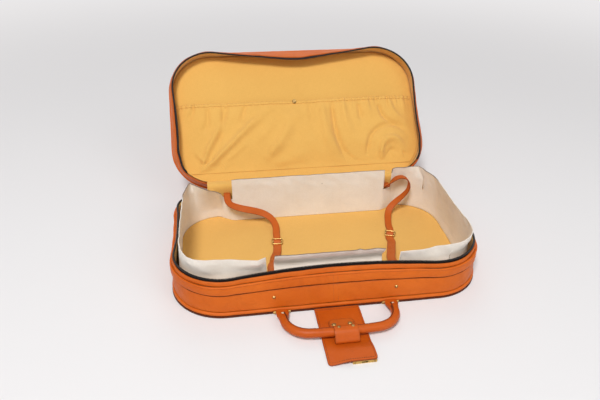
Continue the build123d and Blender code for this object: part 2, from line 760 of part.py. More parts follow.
def build_flap():
    """Makes the flap, its root under the case, the keeper loop round the handle and the lock."""
    root_end = pivot_y + flap_root_gap
    near = -case_depth / 2 + panel_edge_inset
    with BuildPart() as flap_root:
        with BuildSketch(Plane.XY.offset(flap_floor_gap)):
            with Locations((0, near)):
                Rectangle(flap_width, near - root_end, align=(Align.CENTER, Align.MAX))
        extrude(amount=panel_leather - flap_floor_gap)
    keep(flap_root, "flap_root")

    rise = lock_base + lock_height
    side_plane = Plane(origin=(-flap_width / 2, 0, 0), x_dir=(0, 1, 0), z_dir=(1, 0, 0))
    flat_end = flap_tip + flap_rise_start
    high_start = flap_tip + flap_rise_end
    with BuildPart() as flap:
        with BuildSketch(side_plane):
            with BuildLine():
                Polyline((pivot_y, flap_floor_gap), (flat_end, flap_floor_gap), (high_start, rise),
                         (flap_tip, rise), (flap_tip, rise + flap_thickness),
                         (high_start, rise + flap_thickness), (flat_end, flap_top), (pivot_y, flap_top),
                         close=True)
            make_face()
        extrude(amount=flap_width)
        corners = flap.edges().filter_by(Axis.Z).sort_by(Axis.Y)[:2]
        fillet(corners, flap_corner_radius)
    keep(flap, "lock_flap")

    patch_y = -case_depth / 2 - patch_reach
    with BuildPart() as patch:
        with BuildSketch(Plane.XY.offset(flap_top)):
            with Locations((0, patch_y)):
                RectangleRounded(patch_width, patch_length, patch_corner_radius,
                                 align=(Align.CENTER, Align.MAX))
        extrude(amount=patch_thickness)
    keep(patch, "keeper_patch")

    grip_y = pivot_y - handle_reach
    grip_z = flap_top + keeper_thickness + keeper_play + handle_grip_radius
    inner = handle_grip_radius + keeper_play
    outer = inner + keeper_thickness
    foot_y = patch_y - patch_length
    with BuildPart() as keeper:
        with BuildSketch(Plane(origin=(-keeper_width / 2, 0, 0), x_dir=(0, 1, 0), z_dir=(1, 0, 0))):
            with Locations((grip_y, grip_z)):
                Circle(outer)
            with Locations((foot_y, flap_top)):
                Rectangle(foot_y - grip_y, keeper_thickness, align=(Align.MAX, Align.MIN))
            with Locations((grip_y, grip_z)):
                Circle(inner, mode=Mode.SUBTRACT)
        extrude(amount=keeper_width)
    keep(keeper, "keeper_loop")

    with BuildPart() as studs:
        for side in (-1, 1):
            with BuildSketch(Plane(origin=(side * patch_stud_half, patch_y - patch_length / 2,
                                           flap_top + patch_thickness))):
                Circle(patch_stud_radius)
            extrude(amount=stud_rise, taper=35)
    keep(studs, "patch_studs")

    tilt = radians(40)
    seat = Vector(0, grip_y + outer * sin(tilt), grip_z + outer * cos(tilt))
    with BuildPart() as keeper_studs:
        for side in (-1, 1):
            with BuildSketch(Plane(origin=seat + Vector(side * keeper_stud_half, 0, 0), x_dir=(1, 0, 0),
                                   z_dir=(0, sin(tilt), cos(tilt)))):
                Circle(keeper_stud_radius)
            extrude(amount=stud_rise, taper=35)
    keep(keeper_studs, "keeper_studs")

    mouth = flap_tip + lock_plate_thickness
    slot_z = lock_base + lock_height / 2
    with BuildPart() as lock_case:
        with BuildSketch(Plane.XY.offset(lock_base)):
            with Locations((lock_offset, mouth)):
                Rectangle(lock_width, lock_length - lock_plate_thickness, align=(Align.CENTER, Align.MIN))
        extrude(amount=lock_height)
        with BuildSketch(Plane(origin=(lock_offset, mouth, slot_z), x_dir=(1, 0, 0), z_dir=(0, 1, 0))):
            Rectangle(lock_slot_width, lock_slot_height)
        extrude(amount=lock_slot_depth, mode=Mode.SUBTRACT)
    keep(lock_case, "lock_case")

    with BuildPart() as lock_plate:
        with BuildSketch(Plane(origin=(lock_offset, mouth, slot_z), x_dir=(1, 0, 0), z_dir=(0, -1, 0))):
            Rectangle(lock_width, lock_height)
            Rectangle(lock_slot_width, lock_slot_height, mode=Mode.SUBTRACT)
        extrude(amount=lock_plate_thickness)
    keep(lock_plate, "lock_plate")

    with BuildPart() as lock_screws:
        for side in (-1, 1):
            with BuildSketch(Plane(origin=(lock_offset + side * lock_screw_half, flap_tip, slot_z),
                                   x_dir=(1, 0, 0), z_dir=(0, -1, 0))):
                Circle(lock_screw_radius)
            extrude(amount=lock_screw_rise)
    keep(lock_screws, "lock_screws")


def build_staple():
    """Makes the staple on the lid's outer panel that the flap's lock takes hold of."""
    place = lid_plane.from_local_coords(Vector(-lock_offset, -case_depth / 2 + staple_inset, 0))
    outer_plane = Plane(origin=place, x_dir=lid_plane.x_dir, z_dir=-lid_plane.z_dir)
    with BuildPart() as staple:
        with BuildSketch(outer_plane):
            RectangleRounded(staple_plate_width, staple_plate_length, staple_plate_thickness)
        extrude(amount=staple_plate_thickness)
        with BuildSketch(outer_plane.offset(staple_plate_thickness)):
            Rectangle(staple_tongue_width, staple_tongue_thickness)
        extrude(amount=staple_tongue_height)
    keep(staple, "lock_staple")
    with BuildPart() as staple_rivets:
        with BuildSketch(outer_plane.offset(staple_plate_thickness)):
            with Locations((-staple_rivet_half, 0), (staple_rivet_half, 0)):
                Circle(staple_rivet_radius)
        extrude(amount=staple_rivet_rise)
    keep(staple_rivets, "staple_rivets")


def build_sliders():
    """Makes each zip slider on its corner of the base's rim, and the pull that hangs from it."""
    for name, side in (("left", -1), ("right", 1)):
        angle = radians(zip_end_angle)
        out = Vector(side * sin(angle), cos(angle), 0)
        along = Vector(side * cos(angle), -sin(angle), 0)
        corner = Vector(side * run_x, run_y, base_height)
        half_gap = teeth_width / 2 + slider_clearance
        place = Plane(origin=corner + out * chain_radius, x_dir=along, z_dir=out)
        with BuildPart() as slider:
            for start in (half_gap, -half_gap - slider_plate):
                with BuildSketch(place.offset(start)):
                    Rectangle(slider_length, slider_height)
                extrude(amount=slider_plate)
            with BuildSketch(place.offset(-half_gap)):
                with Locations(((slider_length - slider_neck_length) / 2, 0)):
                    Rectangle(slider_neck_length, slider_neck_height)
            extrude(amount=2 * half_gap)
            face = half_gap + slider_plate
            pin = place.from_local_coords(Vector(0, 0, face + slider_pin_reach)) - Vector(0, 0, slider_pin_drop)
            ends = [pin + along * (end * slider_pin_length / 2) for end in (-1, 1)]
            round_bar(tuple(ends[0]), tuple(ends[1]), slider_pin_radius)
            for end in ends:
                lug = Plane(origin=end, x_dir=out, z_dir=along)
                with BuildSketch(lug):
                    with Locations((slider_pin_radius - slider_pin_reach, 0)):
                        Rectangle(slider_pin_reach * 2 - slider_pin_radius, slider_lug_height)
                extrude(amount=slider_lug_thickness / 2, both=True)
        keep(slider, f"{name}_zip_slider")

        with BuildPart() as pull:
            with BuildSketch(Plane(origin=pin, x_dir=out, z_dir=along * side)):
                Circle(pull_eye_radius)
                Rectangle(pull_thickness, pull_length, align=(Align.CENTER, Align.MAX))
                Circle(slider_pin_radius + slider_pin_clearance, mode=Mode.SUBTRACT)
            extrude(amount=pull_width / 2, both=True)
        keep(pull, f"{name}_zip_pull")


# The pocket's cloth, seen from the front of the lid: where its folds meet across its width, and how far
# the cloth stands off the lid at its hem, its middle and its foot, as shares of the gap and of the sag.
fold_place_hem_shares = [0.0, 0.11, 0.22, 0.35, 0.46, 0.56, 0.68, 0.80, 0.91, 1.0]
fold_place_middle_shares = [0.0, 0.09, 0.18, 0.30, 0.43, 0.55, 0.66, 0.78, 0.90, 1.0]
fold_place_foot_shares = [0.0, 0.07, 0.13, 0.22, 0.38, 0.53, 0.64, 0.77, 0.90, 1.0]
fold_stand_hem_shares = [0.0, 0.85, 1.0, 0.95, 1.0, 1.0, 0.95, 1.0, 0.85, 0.0]
fold_stand_middle_shares = [0.0, 0.45, 0.60, 0.70, 0.75, 0.80, 0.95, 1.0, 0.80, 0.0]
fold_bulge_hem_shares = [0.35, 0.3, 0.4, 0.3, 0.35, 0.4, 0.3, 0.4, 0.3]
fold_bulge_middle_shares = [0.8, 1.0, 0.9, 0.6, 0.5, 0.8, 1.0, 0.9, 0.6]
fold_bulge_foot_share = 0.12


def cloth_section(places, stands, bulges, thickness):
    """Draws a folded cloth's section in the open sketch, as an arc from each fold to the next."""
    half = pocket_width / 2
    points = [(half - place * pocket_width, stand) for place, stand in zip(places, stands)]
    with BuildLine() as lines:
        for start, end, bulge in zip(points, points[1:], bulges):
            middle = ((start[0] + end[0]) / 2, (start[1] + end[1]) / 2 + bulge)
            ThreePointArc(start, middle, end)
            ThreePointArc(*[(x, z + thickness) for x, z in (start, middle, end)])
        for x, z in (points[0], points[-1]):
            Line((x, z), (x, z + thickness))
    make_face(lines.edges())


def build_pocket():
    """Makes the lid's pocket, its elastic hem and the snap that holds the hem's middle."""
    ceiling = shell_floor + ceiling_cloth
    foot_y = hinge_y - pocket_low
    hem_y = hinge_y - pocket_high
    middle_y = hem_y + (foot_y - hem_y) * pocket_middle_share
    hem = [ceiling + pocket_gap * share for share in fold_stand_hem_shares]
    middle = [ceiling + pocket_sag * share for share in fold_stand_middle_shares]
    foot = [ceiling for _ in fold_place_foot_shares]

    def section_plane(y):
        """Gives the plane across the lid at a place along it."""
        return Plane(origin=lid_plane.from_local_coords(Vector(0, y, 0)), x_dir=-lid_plane.x_dir,
                     z_dir=lid_plane.y_dir)

    hem_bulges = [pocket_fold * share for share in fold_bulge_hem_shares]
    with BuildPart() as pocket:
        with BuildSketch(section_plane(foot_y)):
            cloth_section(fold_place_foot_shares, foot,
                          [pocket_fold * fold_bulge_foot_share for _ in fold_bulge_hem_shares], pocket_cloth)
        with BuildSketch(section_plane(middle_y)):
            cloth_section(fold_place_middle_shares, middle,
                          [pocket_fold * share for share in fold_bulge_middle_shares], pocket_cloth)
        with BuildSketch(section_plane(hem_y)):
            cloth_section(fold_place_hem_shares, hem, hem_bulges, pocket_cloth)
        loft(ruled=True)
    keep(pocket, "lid_pocket")

    with BuildPart() as pocket_hem:
        with BuildSketch(section_plane(hem_y)):
            cloth_section(fold_place_hem_shares, hem, hem_bulges, pocket_cloth)
        extrude(amount=-pocket_hem_width)
    keep(pocket_hem, "pocket_hem")

    snap_y = hem_y - pocket_hem_width / 2
    arc = len(fold_place_hem_shares) // 2 - 1
    snap_x = pocket_width / 2 - pocket_width * (fold_place_hem_shares[arc] + fold_place_hem_shares[arc + 1]) / 2
    snap_z = (hem[arc] + hem[arc + 1]) / 2 + hem_bulges[arc]
    with BuildPart() as snap_cap:
        with BuildSketch(lid_plane.offset(snap_z + pocket_cloth)):
            with Locations((-snap_x, snap_y)):
                Circle(snap_cap_radius)
        extrude(amount=snap_cap_rise)
    keep(snap_cap, "pocket_snap_cap")
    with BuildPart() as snap_post:
        with BuildSketch(lid_plane.offset(ceiling)):
            with Locations((-snap_x, snap_y)):
                Circle(snap_post_radius)
        extrude(amount=snap_z - ceiling - pocket_seat)
    keep(snap_post, "pocket_snap_post")


os.makedirs("parts", exist_ok=True)
build_shell("base", base_plane, base_height, base_levels)
build_base_bands()
build_shell("lid", lid_plane, lid_height, lid_levels)
build_lid_wall()
build_hinge()
build_inner_walls()
build_straps()
build_rivets()
build_handle()
build_flap()
build_staple()
build_sliders()
build_pocket()
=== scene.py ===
import logging
import math
from dataclasses import dataclass, field
from enum import Enum

import bmesh
import bpy
import numpy as np
from mathutils import Matrix


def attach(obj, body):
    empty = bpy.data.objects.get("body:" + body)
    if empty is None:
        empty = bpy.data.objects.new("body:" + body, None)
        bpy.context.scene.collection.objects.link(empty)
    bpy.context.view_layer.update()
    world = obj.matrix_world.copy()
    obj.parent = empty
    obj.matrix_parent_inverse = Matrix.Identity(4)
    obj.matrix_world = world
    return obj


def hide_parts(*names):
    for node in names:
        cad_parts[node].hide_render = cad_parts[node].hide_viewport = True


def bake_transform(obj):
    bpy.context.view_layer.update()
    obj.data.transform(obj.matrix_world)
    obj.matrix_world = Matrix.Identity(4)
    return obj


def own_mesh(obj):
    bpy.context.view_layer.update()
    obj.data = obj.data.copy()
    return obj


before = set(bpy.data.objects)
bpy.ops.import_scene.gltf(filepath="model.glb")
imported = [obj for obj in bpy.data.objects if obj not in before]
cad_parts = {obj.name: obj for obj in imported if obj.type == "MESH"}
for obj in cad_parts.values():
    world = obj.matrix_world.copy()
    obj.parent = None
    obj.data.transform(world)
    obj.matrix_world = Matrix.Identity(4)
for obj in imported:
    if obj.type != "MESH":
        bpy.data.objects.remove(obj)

Array = np.ndarray
Pair = tuple[float, float]
Triple = tuple[float, float, float]
Numbers = tuple[float, ...]
Socket = bpy.types.NodeSocket
Made = bpy.types.Object
MM = 0.001
X_AXIS = np.array([1, 0, 0])
Y_AXIS = np.array([0, 1, 0])
UP = np.array([0, 0, 1])
log = logging.getLogger("suitcase")


# Shapes, all in millimetres


@dataclass
class Shape:
    """A surface in millimetres: points, groups of faces with equal corner counts, each corner's place on the
    cloth in metres, and an edge share from 0 to 1 that darkens the finish: how near a point is to a cut edge,
    and on the wall bands and the panel's rim painted shade."""

    points: Array
    faces: list[Array] = field(default_factory=list)
    corners: list[Array] = field(default_factory=list)
    edge: Array | None = None

    def __post_init__(self) -> None:
        """Gives every point an edge share of 0 where none is set."""
        if self.edge is None:
            self.edge = np.zeros(len(self.points))

    def map_flat(self) -> None:
        """Lays the cloth's pattern as seen from above."""
        self.corners = [self.points[faces, :2] * MM for faces in self.faces]


def merged(shapes: list[Shape]) -> Shape:
    """Puts several shapes into one, in their order."""
    starts = np.cumsum([0] + [len(shape.points) for shape in shapes])
    return Shape(np.concatenate([shape.points for shape in shapes]),
                 [faces + start for shape, start in zip(shapes, starts) for faces in shape.faces],
                 [corners for shape in shapes for corners in shape.corners],
                 np.concatenate([shape.edge for shape in shapes]))


def places(*parts: Array | float) -> Array:
    """Puts coordinates side by side, after spreading them over each other's shape."""
    return np.stack(np.broadcast_arrays(*parts), -1)


def lifted(flat: Array, level: Array | float = 0.0) -> Array:
    """Gives flat points a level as their third coordinate."""
    return places(flat[..., 0], flat[..., 1], level)


def circle(count: int) -> Array:
    """Gives even angles all the way round."""
    return np.linspace(0, 2 * np.pi, count, endpoint=False)


def round_at(x: Array | float, y: Array | float, radius: Array | float, angle: Array) -> Array:
    """Gives the places round a centre at angles."""
    return places(x + radius * np.cos(angle), y + radius * np.sin(angle))


def lengths(points: Array, axis: int, closed: bool) -> Array:
    """Measures the mean running length of a grid in one direction.

    Args:
        points: The grid, (rows, columns, 3).
        axis: 0 along the rows, 1 along the columns.
        closed: Whether the last line joins the first.

    Returns:
        The running length at each line and one more.
    """
    rolled = points if axis == 0 else np.swapaxes(points, 0, 1)
    joined = np.concatenate([rolled, rolled[:1] if closed else rolled[-1:]])
    steps = np.linalg.norm(np.diff(joined, axis=0), axis=-1).mean(axis=1)
    return np.concatenate([[0], np.cumsum(steps)])


def grid(points: Array, closed: tuple[bool, bool] = (False, False), edge: Array | None = None,
         capped: bool = False) -> Shape:
    """Covers a grid of points with four-sided faces.

    Face (i, j) has the corners (i, j), (i+1, j), (i+1, j+1), (i, j+1): its normal is the row direction
    crossed with the column direction, and its place on the cloth the running length along each.

    Args:
        points: The grid, (rows, columns, 3).
        closed: Whether the rows and the columns join end to end.
        edge: The edge share of each point, or None.
        capped: Whether one face closes the first row and one the last.

    Returns:
        The surface.
    """
    rows, cols = points.shape[:2]
    i, j = np.meshgrid(np.arange(rows - (not closed[0])), np.arange(cols - (not closed[1])), indexing="ij")
    i, j = i.ravel(), j.ravel()
    corner_i = np.stack([i, i + 1, i + 1, i], 1)
    corner_j = np.stack([j, j, j + 1, j + 1], 1)
    u = lengths(points, 0, closed[0]) * MM
    v = lengths(points, 1, closed[1]) * MM
    faces = [(corner_i % rows) * cols + corner_j % cols]
    corners = [np.stack([u[corner_i], v[corner_j]], -1)]
    if capped:
        for row, order in ((0, 1), (rows - 1, -1)):
            ring = row * cols + np.arange(cols)[::order]
            faces.append(ring[None])
            corners.append(places(u[row], v[np.arange(cols)[::order]])[None])
    flat_edge = None if edge is None else np.broadcast_to(edge, (rows, cols)).ravel().copy()
    return Shape(points.reshape(-1, 3), faces, corners, flat_edge)


def poled(rings: Array, first: Array, last: Array) -> Shape:
    """Closes a stack of rings with a point at each end.

    Args:
        rings: The rings, (rows, columns, 3).
        first: The point before them.
        last: The point after them.

    Returns:
        A closed surface.
    """
    rows, cols = rings.shape[:2]
    body = grid(rings, (False, True))
    here = np.arange(cols)
    ahead = (here + 1) % cols
    start, end = rows * cols, rows * cols + 1
    low = np.stack([np.full(cols, start), here, ahead], 1)
    high = np.stack([np.full(cols, end), (rows - 1) * cols + ahead, (rows - 1) * cols + here], 1)
    points = np.concatenate([body.points, [first, last]])
    flat = points[:, :2] * MM
    return Shape(points, body.faces + [low, high], body.corners + [flat[low], flat[high]])


def lathe(profile: Array, count: int) -> Shape:
    """Turns a profile about Z: a point at radius r and height h goes round a circle of radius r.

    Args:
        profile: Radius and height of each point; the first and the last lie on the axis.
        count: How many points each circle has.

    Returns:
        The turned, closed surface.
    """
    angle = circle(count)
    radius, height = profile[1:-1, :1], profile[1:-1, 1:]
    rings = lifted(round_at(0, 0, radius, angle), height)
    return poled(rings, UP * profile[0, 1], UP * profile[-1, 1])


def scatter(template: Shape, origins: Array, axes: Array) -> Shape:
    """Sets a copy of a shape at each place: origin + x·X + y·Y + z·Z for every point (x, y, z).

    Args:
        template: The shape to repeat.
        origins: The places, (count, 3).
        axes: X, Y and Z at each place as rows, (count, 3, 3).

    Returns:
        All copies in one shape.
    """
    count = len(origins)
    points = origins[:, None] + np.einsum("ki,mij->mkj", template.points, axes)
    shift = (np.arange(count) * len(template.points))[:, None, None]
    faces = [(group[None] + shift).reshape(-1, group.shape[1]) for group in template.faces]
    corners = [np.tile(group, (count, 1, 1)) for group in template.corners]
    return Shape(points.reshape(-1, 3), faces, corners, np.tile(template.edge, count))


def unit(vectors: Array) -> Array:
    """Gives vectors the length 1."""
    return vectors / np.maximum(np.linalg.norm(vectors, axis=-1, keepdims=True), 1e-9)


def squared(direction: Array, along: Array) -> Array:
    """Turns directions square to a path by taking away what lies along it."""
    return unit(direction - (direction * along).sum(-1, keepdims=True) * along)


def smooth(value: Array | float, low: float, high: float) -> Array:
    """Rises smoothly from 0 at low to 1 at high, as 3t² − 2t³."""
    t = np.clip((np.asarray(value, float) - low) / (high - low), 0, 1)
    return t * t * (3 - 2 * t)


def hill(value: Array, centre: Array | float, width: Array | float) -> Array:
    """A bell of height 1 at centre that falls to 0.37 at width from it."""
    return np.exp(-(((value - centre) / width) ** 2))


def ripple(points: Array, size: float, seed: int) -> Array:
    """Gives a soft unevenness: nine sine waves that run through space in seeded directions, added up.

    Args:
        points: Places, (..., 3).
        size: The waves' usual length.
        seed: Picks the directions and phases.

    Returns:
        A value at each place, about −1 to 1.
    """
    dice = np.random.default_rng(seed)
    count = 9
    heading = unit(dice.normal(size=(count, 3))) * (2 * np.pi / (size * dice.uniform(0.6, 1.7, (count, 1))))
    phase = dice.uniform(0, 2 * np.pi, count)
    return np.sin(points @ heading.T + phase).sum(-1) / math.sqrt(count * 0.8)


def spline(knots: Array, count: int) -> Array:
    """Draws a natural cubic curve through knots, by the length of the chords between them.

    Args:
        knots: The knots, (n, k); the first three columns are the place.
        count: How many samples to give.

    Returns:
        Samples of all columns, even in chord length.
    """
    knots = np.asarray(knots, float)
    step = np.linalg.norm(np.diff(knots[:, :3], axis=0), axis=1)
    chord = np.concatenate([[0], np.cumsum(step)])
    size = len(knots)
    system = np.eye(size)
    right = np.zeros_like(knots)
    i = np.arange(1, size - 1)
    system[i, i - 1], system[i, i], system[i, i + 1] = step[:-1], 2 * (step[:-1] + step[1:]), step[1:]
    right[1:-1] = 6 * np.diff(np.diff(knots, axis=0) / step[:, None], axis=0)
    bend = np.linalg.solve(system, right)
    place = np.linspace(0, chord[-1], count)
    k = np.clip(np.searchsorted(chord, place, side="right") - 1, 0, size - 2)
    a = ((chord[k + 1] - place) / step[k])[:, None]
    b = 1 - a
    square = (step[k] ** 2)[:, None] / 6
    return a * knots[k] + b * knots[k + 1] + ((a**3 - a) * bend[k] + (b**3 - b) * bend[k + 1]) * square


def resample(path: Array, stations: Array) -> Array:
    """Reads a polyline's columns at running lengths along its first three."""
    run = np.concatenate([[0], np.cumsum(np.linalg.norm(np.diff(path[:, :3], axis=0), axis=1))])
    return np.stack([np.interp(stations, run, column) for column in path.T], 1)


def path_length(path: Array) -> float:
    """Measures a polyline."""
    return float(np.linalg.norm(np.diff(path[:, :3], axis=0), axis=1).sum())


def slab_profile(width: Array, thickness: Array, radius: Array, crown: float = 0.0) -> Array:
    """Draws rectangles of four quarter circles joined by lines, with crown·(1 − (2x/width)²) added above
    and below.

    Args:
        width: Each one's width.
        thickness: Each one's thickness.
        radius: Each one's corner radius.
        crown: How far the broad sides bulge.

    Returns:
        The sections, (count, points, 2), each closed.
    """
    width, thickness, radius = (np.atleast_1d(np.asarray(x, float)) for x in np.broadcast_arrays(
        width, thickness, radius))
    radius = np.minimum(radius, np.minimum(width, thickness) / 2 - 1e-3)
    quarter = np.linspace(0, np.pi / 2, 5)
    angle = np.concatenate([quarter + k * np.pi / 2 for k in range(4)])
    sign_x = np.repeat([1, -1, -1, 1], 5)
    sign_y = np.repeat([1, 1, -1, -1], 5)
    half_w = (width / 2 - radius)[:, None]
    half_t = (thickness / 2 - radius)[:, None]
    x = sign_x * half_w + radius[:, None] * np.cos(angle)
    y = sign_y * half_t + radius[:, None] * np.sin(angle)
    across = np.linspace(1, -1, 12)[1:-1] * half_w
    full = np.broadcast_to((thickness / 2)[:, None], across.shape)
    x = np.concatenate([x[:, :5], across, x[:, 5:15], -across, x[:, 15:]], 1)
    y = np.concatenate([y[:, :5], full, y[:, 5:15], -full, y[:, 15:]], 1)
    y = y + np.sign(y) * crown * np.clip(1 - (2 * x / width[:, None]) ** 2, 0, 1)
    return np.stack([x, y], -1)


def bead(length: float, radius: float) -> Shape:
    """A stitch: a six-sided bead along X whose radius follows half an ellipse."""
    station = np.array([-1, -0.75, 0, 0.75, 1])
    profile = np.stack([radius * np.sqrt(1 - station**2), station * length / 2], 1)
    turned = lathe(profile, 6)
    turned.points = turned.points[:, [2, 0, 1]]
    return turned


def stitches(path: Array, normal: Array, pitch: float = 3.6, length: float = 2.7, radius: float = 0.27,
             closed: bool = False) -> Shape:
    """Sews a row of stitches along a path at equal running lengths.

    Args:
        path: The seam's line, (n, 3).
        normal: The way out of the leather along it.
        pitch: From stitch to stitch.
        length: Of each stitch.
        radius: Of the thread.
        closed: Whether the line comes back to its start.

    Returns:
        All stitches in one shape.
    """
    both = np.concatenate([path, np.broadcast_to(normal, path.shape)], 1)
    if closed:
        both = np.concatenate([both, both[:1]])
    total = path_length(both)
    count = max(2, int(total / pitch))
    middle = resample(both, (np.arange(count) + 0.5) * total / count)
    ends = resample(both, (np.arange(count) + 0.7) * total / count)
    along = unit(ends[:, :3] - middle[:, :3])
    up = squared(middle[:, 3:], along)
    return scatter(bead(length, radius), middle[:, :3], np.stack([along, np.cross(up, along), up], 1))


@dataclass
class Ribbon:
    """A strip of leather carried along a path, with round edges and, where wanted, round tips."""

    path: Array
    side: Array
    width: Array | float
    thickness: Array | float = 2.0
    radius: Array | float = 0.8
    crown: float = 0.15
    tips: Pair = (0.0, 0.0)
    step: float = 2.5
    worn: float = 1.6
    seam_end: float = 3

    def stations(self) -> tuple[Array, Array, Array, Array]:
        """Reads the path at stations that crowd at its tips.

        Returns:
            Each station's place, side, up direction and running length.
        """
        both = np.concatenate([self.path, np.broadcast_to(self.side, self.path.shape)], 1)
        total = path_length(both)
        ease = 1 - np.cos(np.linspace(0, np.pi / 2, 7))
        start, end = np.maximum(self.tips, 1)
        middle = np.linspace(start, total - end, max(4, int(total / self.step)))[1:-1]
        run = np.concatenate([ease * start, middle, total - (ease * end)[::-1]])
        read = resample(both, run)
        along = unit(np.gradient(read[:, :3], run, axis=0))
        side = squared(read[:, 3:], along)
        return read[:, :3], side, np.cross(along, side), run

    def tip_share(self, run: Array) -> Array:
        """Gives what a round tip takes from each half width: r − √(r² − (r − d)²)."""
        left = np.zeros_like(run)
        for distance, radius in ((run, self.tips[0]), (run[-1] - run, self.tips[1])):
            if radius > 0:
                inside = np.clip(radius - distance, 0, radius)
                left = np.maximum(left, radius - np.sqrt(radius**2 - inside**2))
        return left

    def along_path(self, value: Array | float, run: Array) -> Array:
        """Spreads a size given at path points over the stations."""
        value = np.atleast_1d(np.asarray(value, float))
        return np.interp(run, np.linspace(0, run[-1], len(value)), value)

    def shape(self) -> Shape:
        """Carries the section along the path; the ends thin out as a rounded edge does.

        Returns:
            The closed strip.
        """
        place, side, up, run = self.stations()
        width = self.along_path(self.width, run) - 2 * self.tip_share(run)
        end = np.minimum(run, run[-1] - run)
        left = np.sqrt(1 - 0.8 * np.clip(1 - end / 0.9, 0, 1) ** 2)
        section = slab_profile(width, self.along_path(self.thickness, run) * left,
                               self.along_path(self.radius, run), self.crown)
        points = place[:, None] + side[:, None] * section[..., :1] + up[:, None] * section[..., 1:]
        near = 1 - np.clip((width[:, None] / 2 - np.abs(section[..., 0])) / self.worn, 0, 1)
        near = np.maximum(near, np.clip(1 - end / self.worn, 0, 1)[:, None])
        return grid(points, (False, True), near, capped=True)

    def seam(self, inset: float, lift: float, turn: int) -> tuple[Array, Array]:
        """Gives a line for stitches beside an edge; it stops short of the strip's ends.

        Args:
            inset: From the edge.
            lift: Out of the middle of the thickness.
            turn: Which edge, 1 or −1.

        Returns:
            The line and the way out of the leather along it.
        """
        place, side, up, run = self.stations()
        keep = (run > self.seam_end) & (run < run[-1] - self.seam_end)
        half = self.along_path(self.width, run) / 2 - self.tip_share(run) - inset
        return (place + side * (turn * half)[:, None] + up * lift)[keep], (up * np.sign(lift))[keep]


def sewn_edges(strip: Ribbon, inset: float, lift: float, *sewing: float) -> Shape:
    """Sews both edges of a strip on both faces, first on the one that the sign of lift picks."""
    seams = [strip.seam(inset, face, turn) for face in (lift, -lift) for turn in (1, -1)]
    return merged([stitches(*seam, *sewing) for seam in seams])


# Finishes


class Nodes:
    """A tree of nodes being put together."""

    def __init__(self, tree: bpy.types.NodeTree) -> None:
        """Starts on a tree."""
        self.tree = tree

    def node(self, kind: str, inputs: dict, **settings: object) -> bpy.types.Node:
        """Adds a node.

        Args:
            kind: The node's type after "ShaderNode".
            inputs: Values or sockets for its inputs, by name or number.
            settings: Its own properties.

        Returns:
            The node.
        """
        made = self.tree.nodes.new("ShaderNode" + kind)
        for key, value in settings.items():
            setattr(made, key, value)
        for key, value in inputs.items():
            self.put(made.inputs[key], value)
        return made

    def put(self, target: Socket, value: object) -> None:
        """Links a socket to a target, or sets the target's own value."""
        if isinstance(value, Socket):
            self.tree.links.new(value, target)
        else:
            target.default_value = value

    def maths(self, operation: str, first: object, second: object) -> Socket:
        """Works out one value from two."""
        return self.node("Math", {0: first, 1: second}, operation=operation).outputs[0]

    def show_plain(self, share: Socket | None, near: Socket, plain: Socket, output: str) -> None:
        """Shows a plain surface in place of the near one to the camera, in reflections and through glass.

        Args:
            share: How much of it is seen there, or None for all.
            near: The surface that light falls on.
            plain: The surface that is seen.
            output: The tree's output node.
        """
        rays = self.node("LightPath", {}).outputs
        seen = rays["Is Camera Ray"]
        for name in ("Is Glossy Ray", "Is Transmission Ray"):
            seen = self.maths("MAXIMUM", seen, rays[name])
        if share is not None:
            seen = self.maths("MULTIPLY", share, seen)
        mixed = self.node("MixShader", {0: seen, 1: near, 2: plain}).outputs[0]
        self.put(self.tree.nodes[output].inputs["Surface"], mixed)


# From band to band of a wave texture at scale 1, in metres.
WAVE_PITCH = 0.314


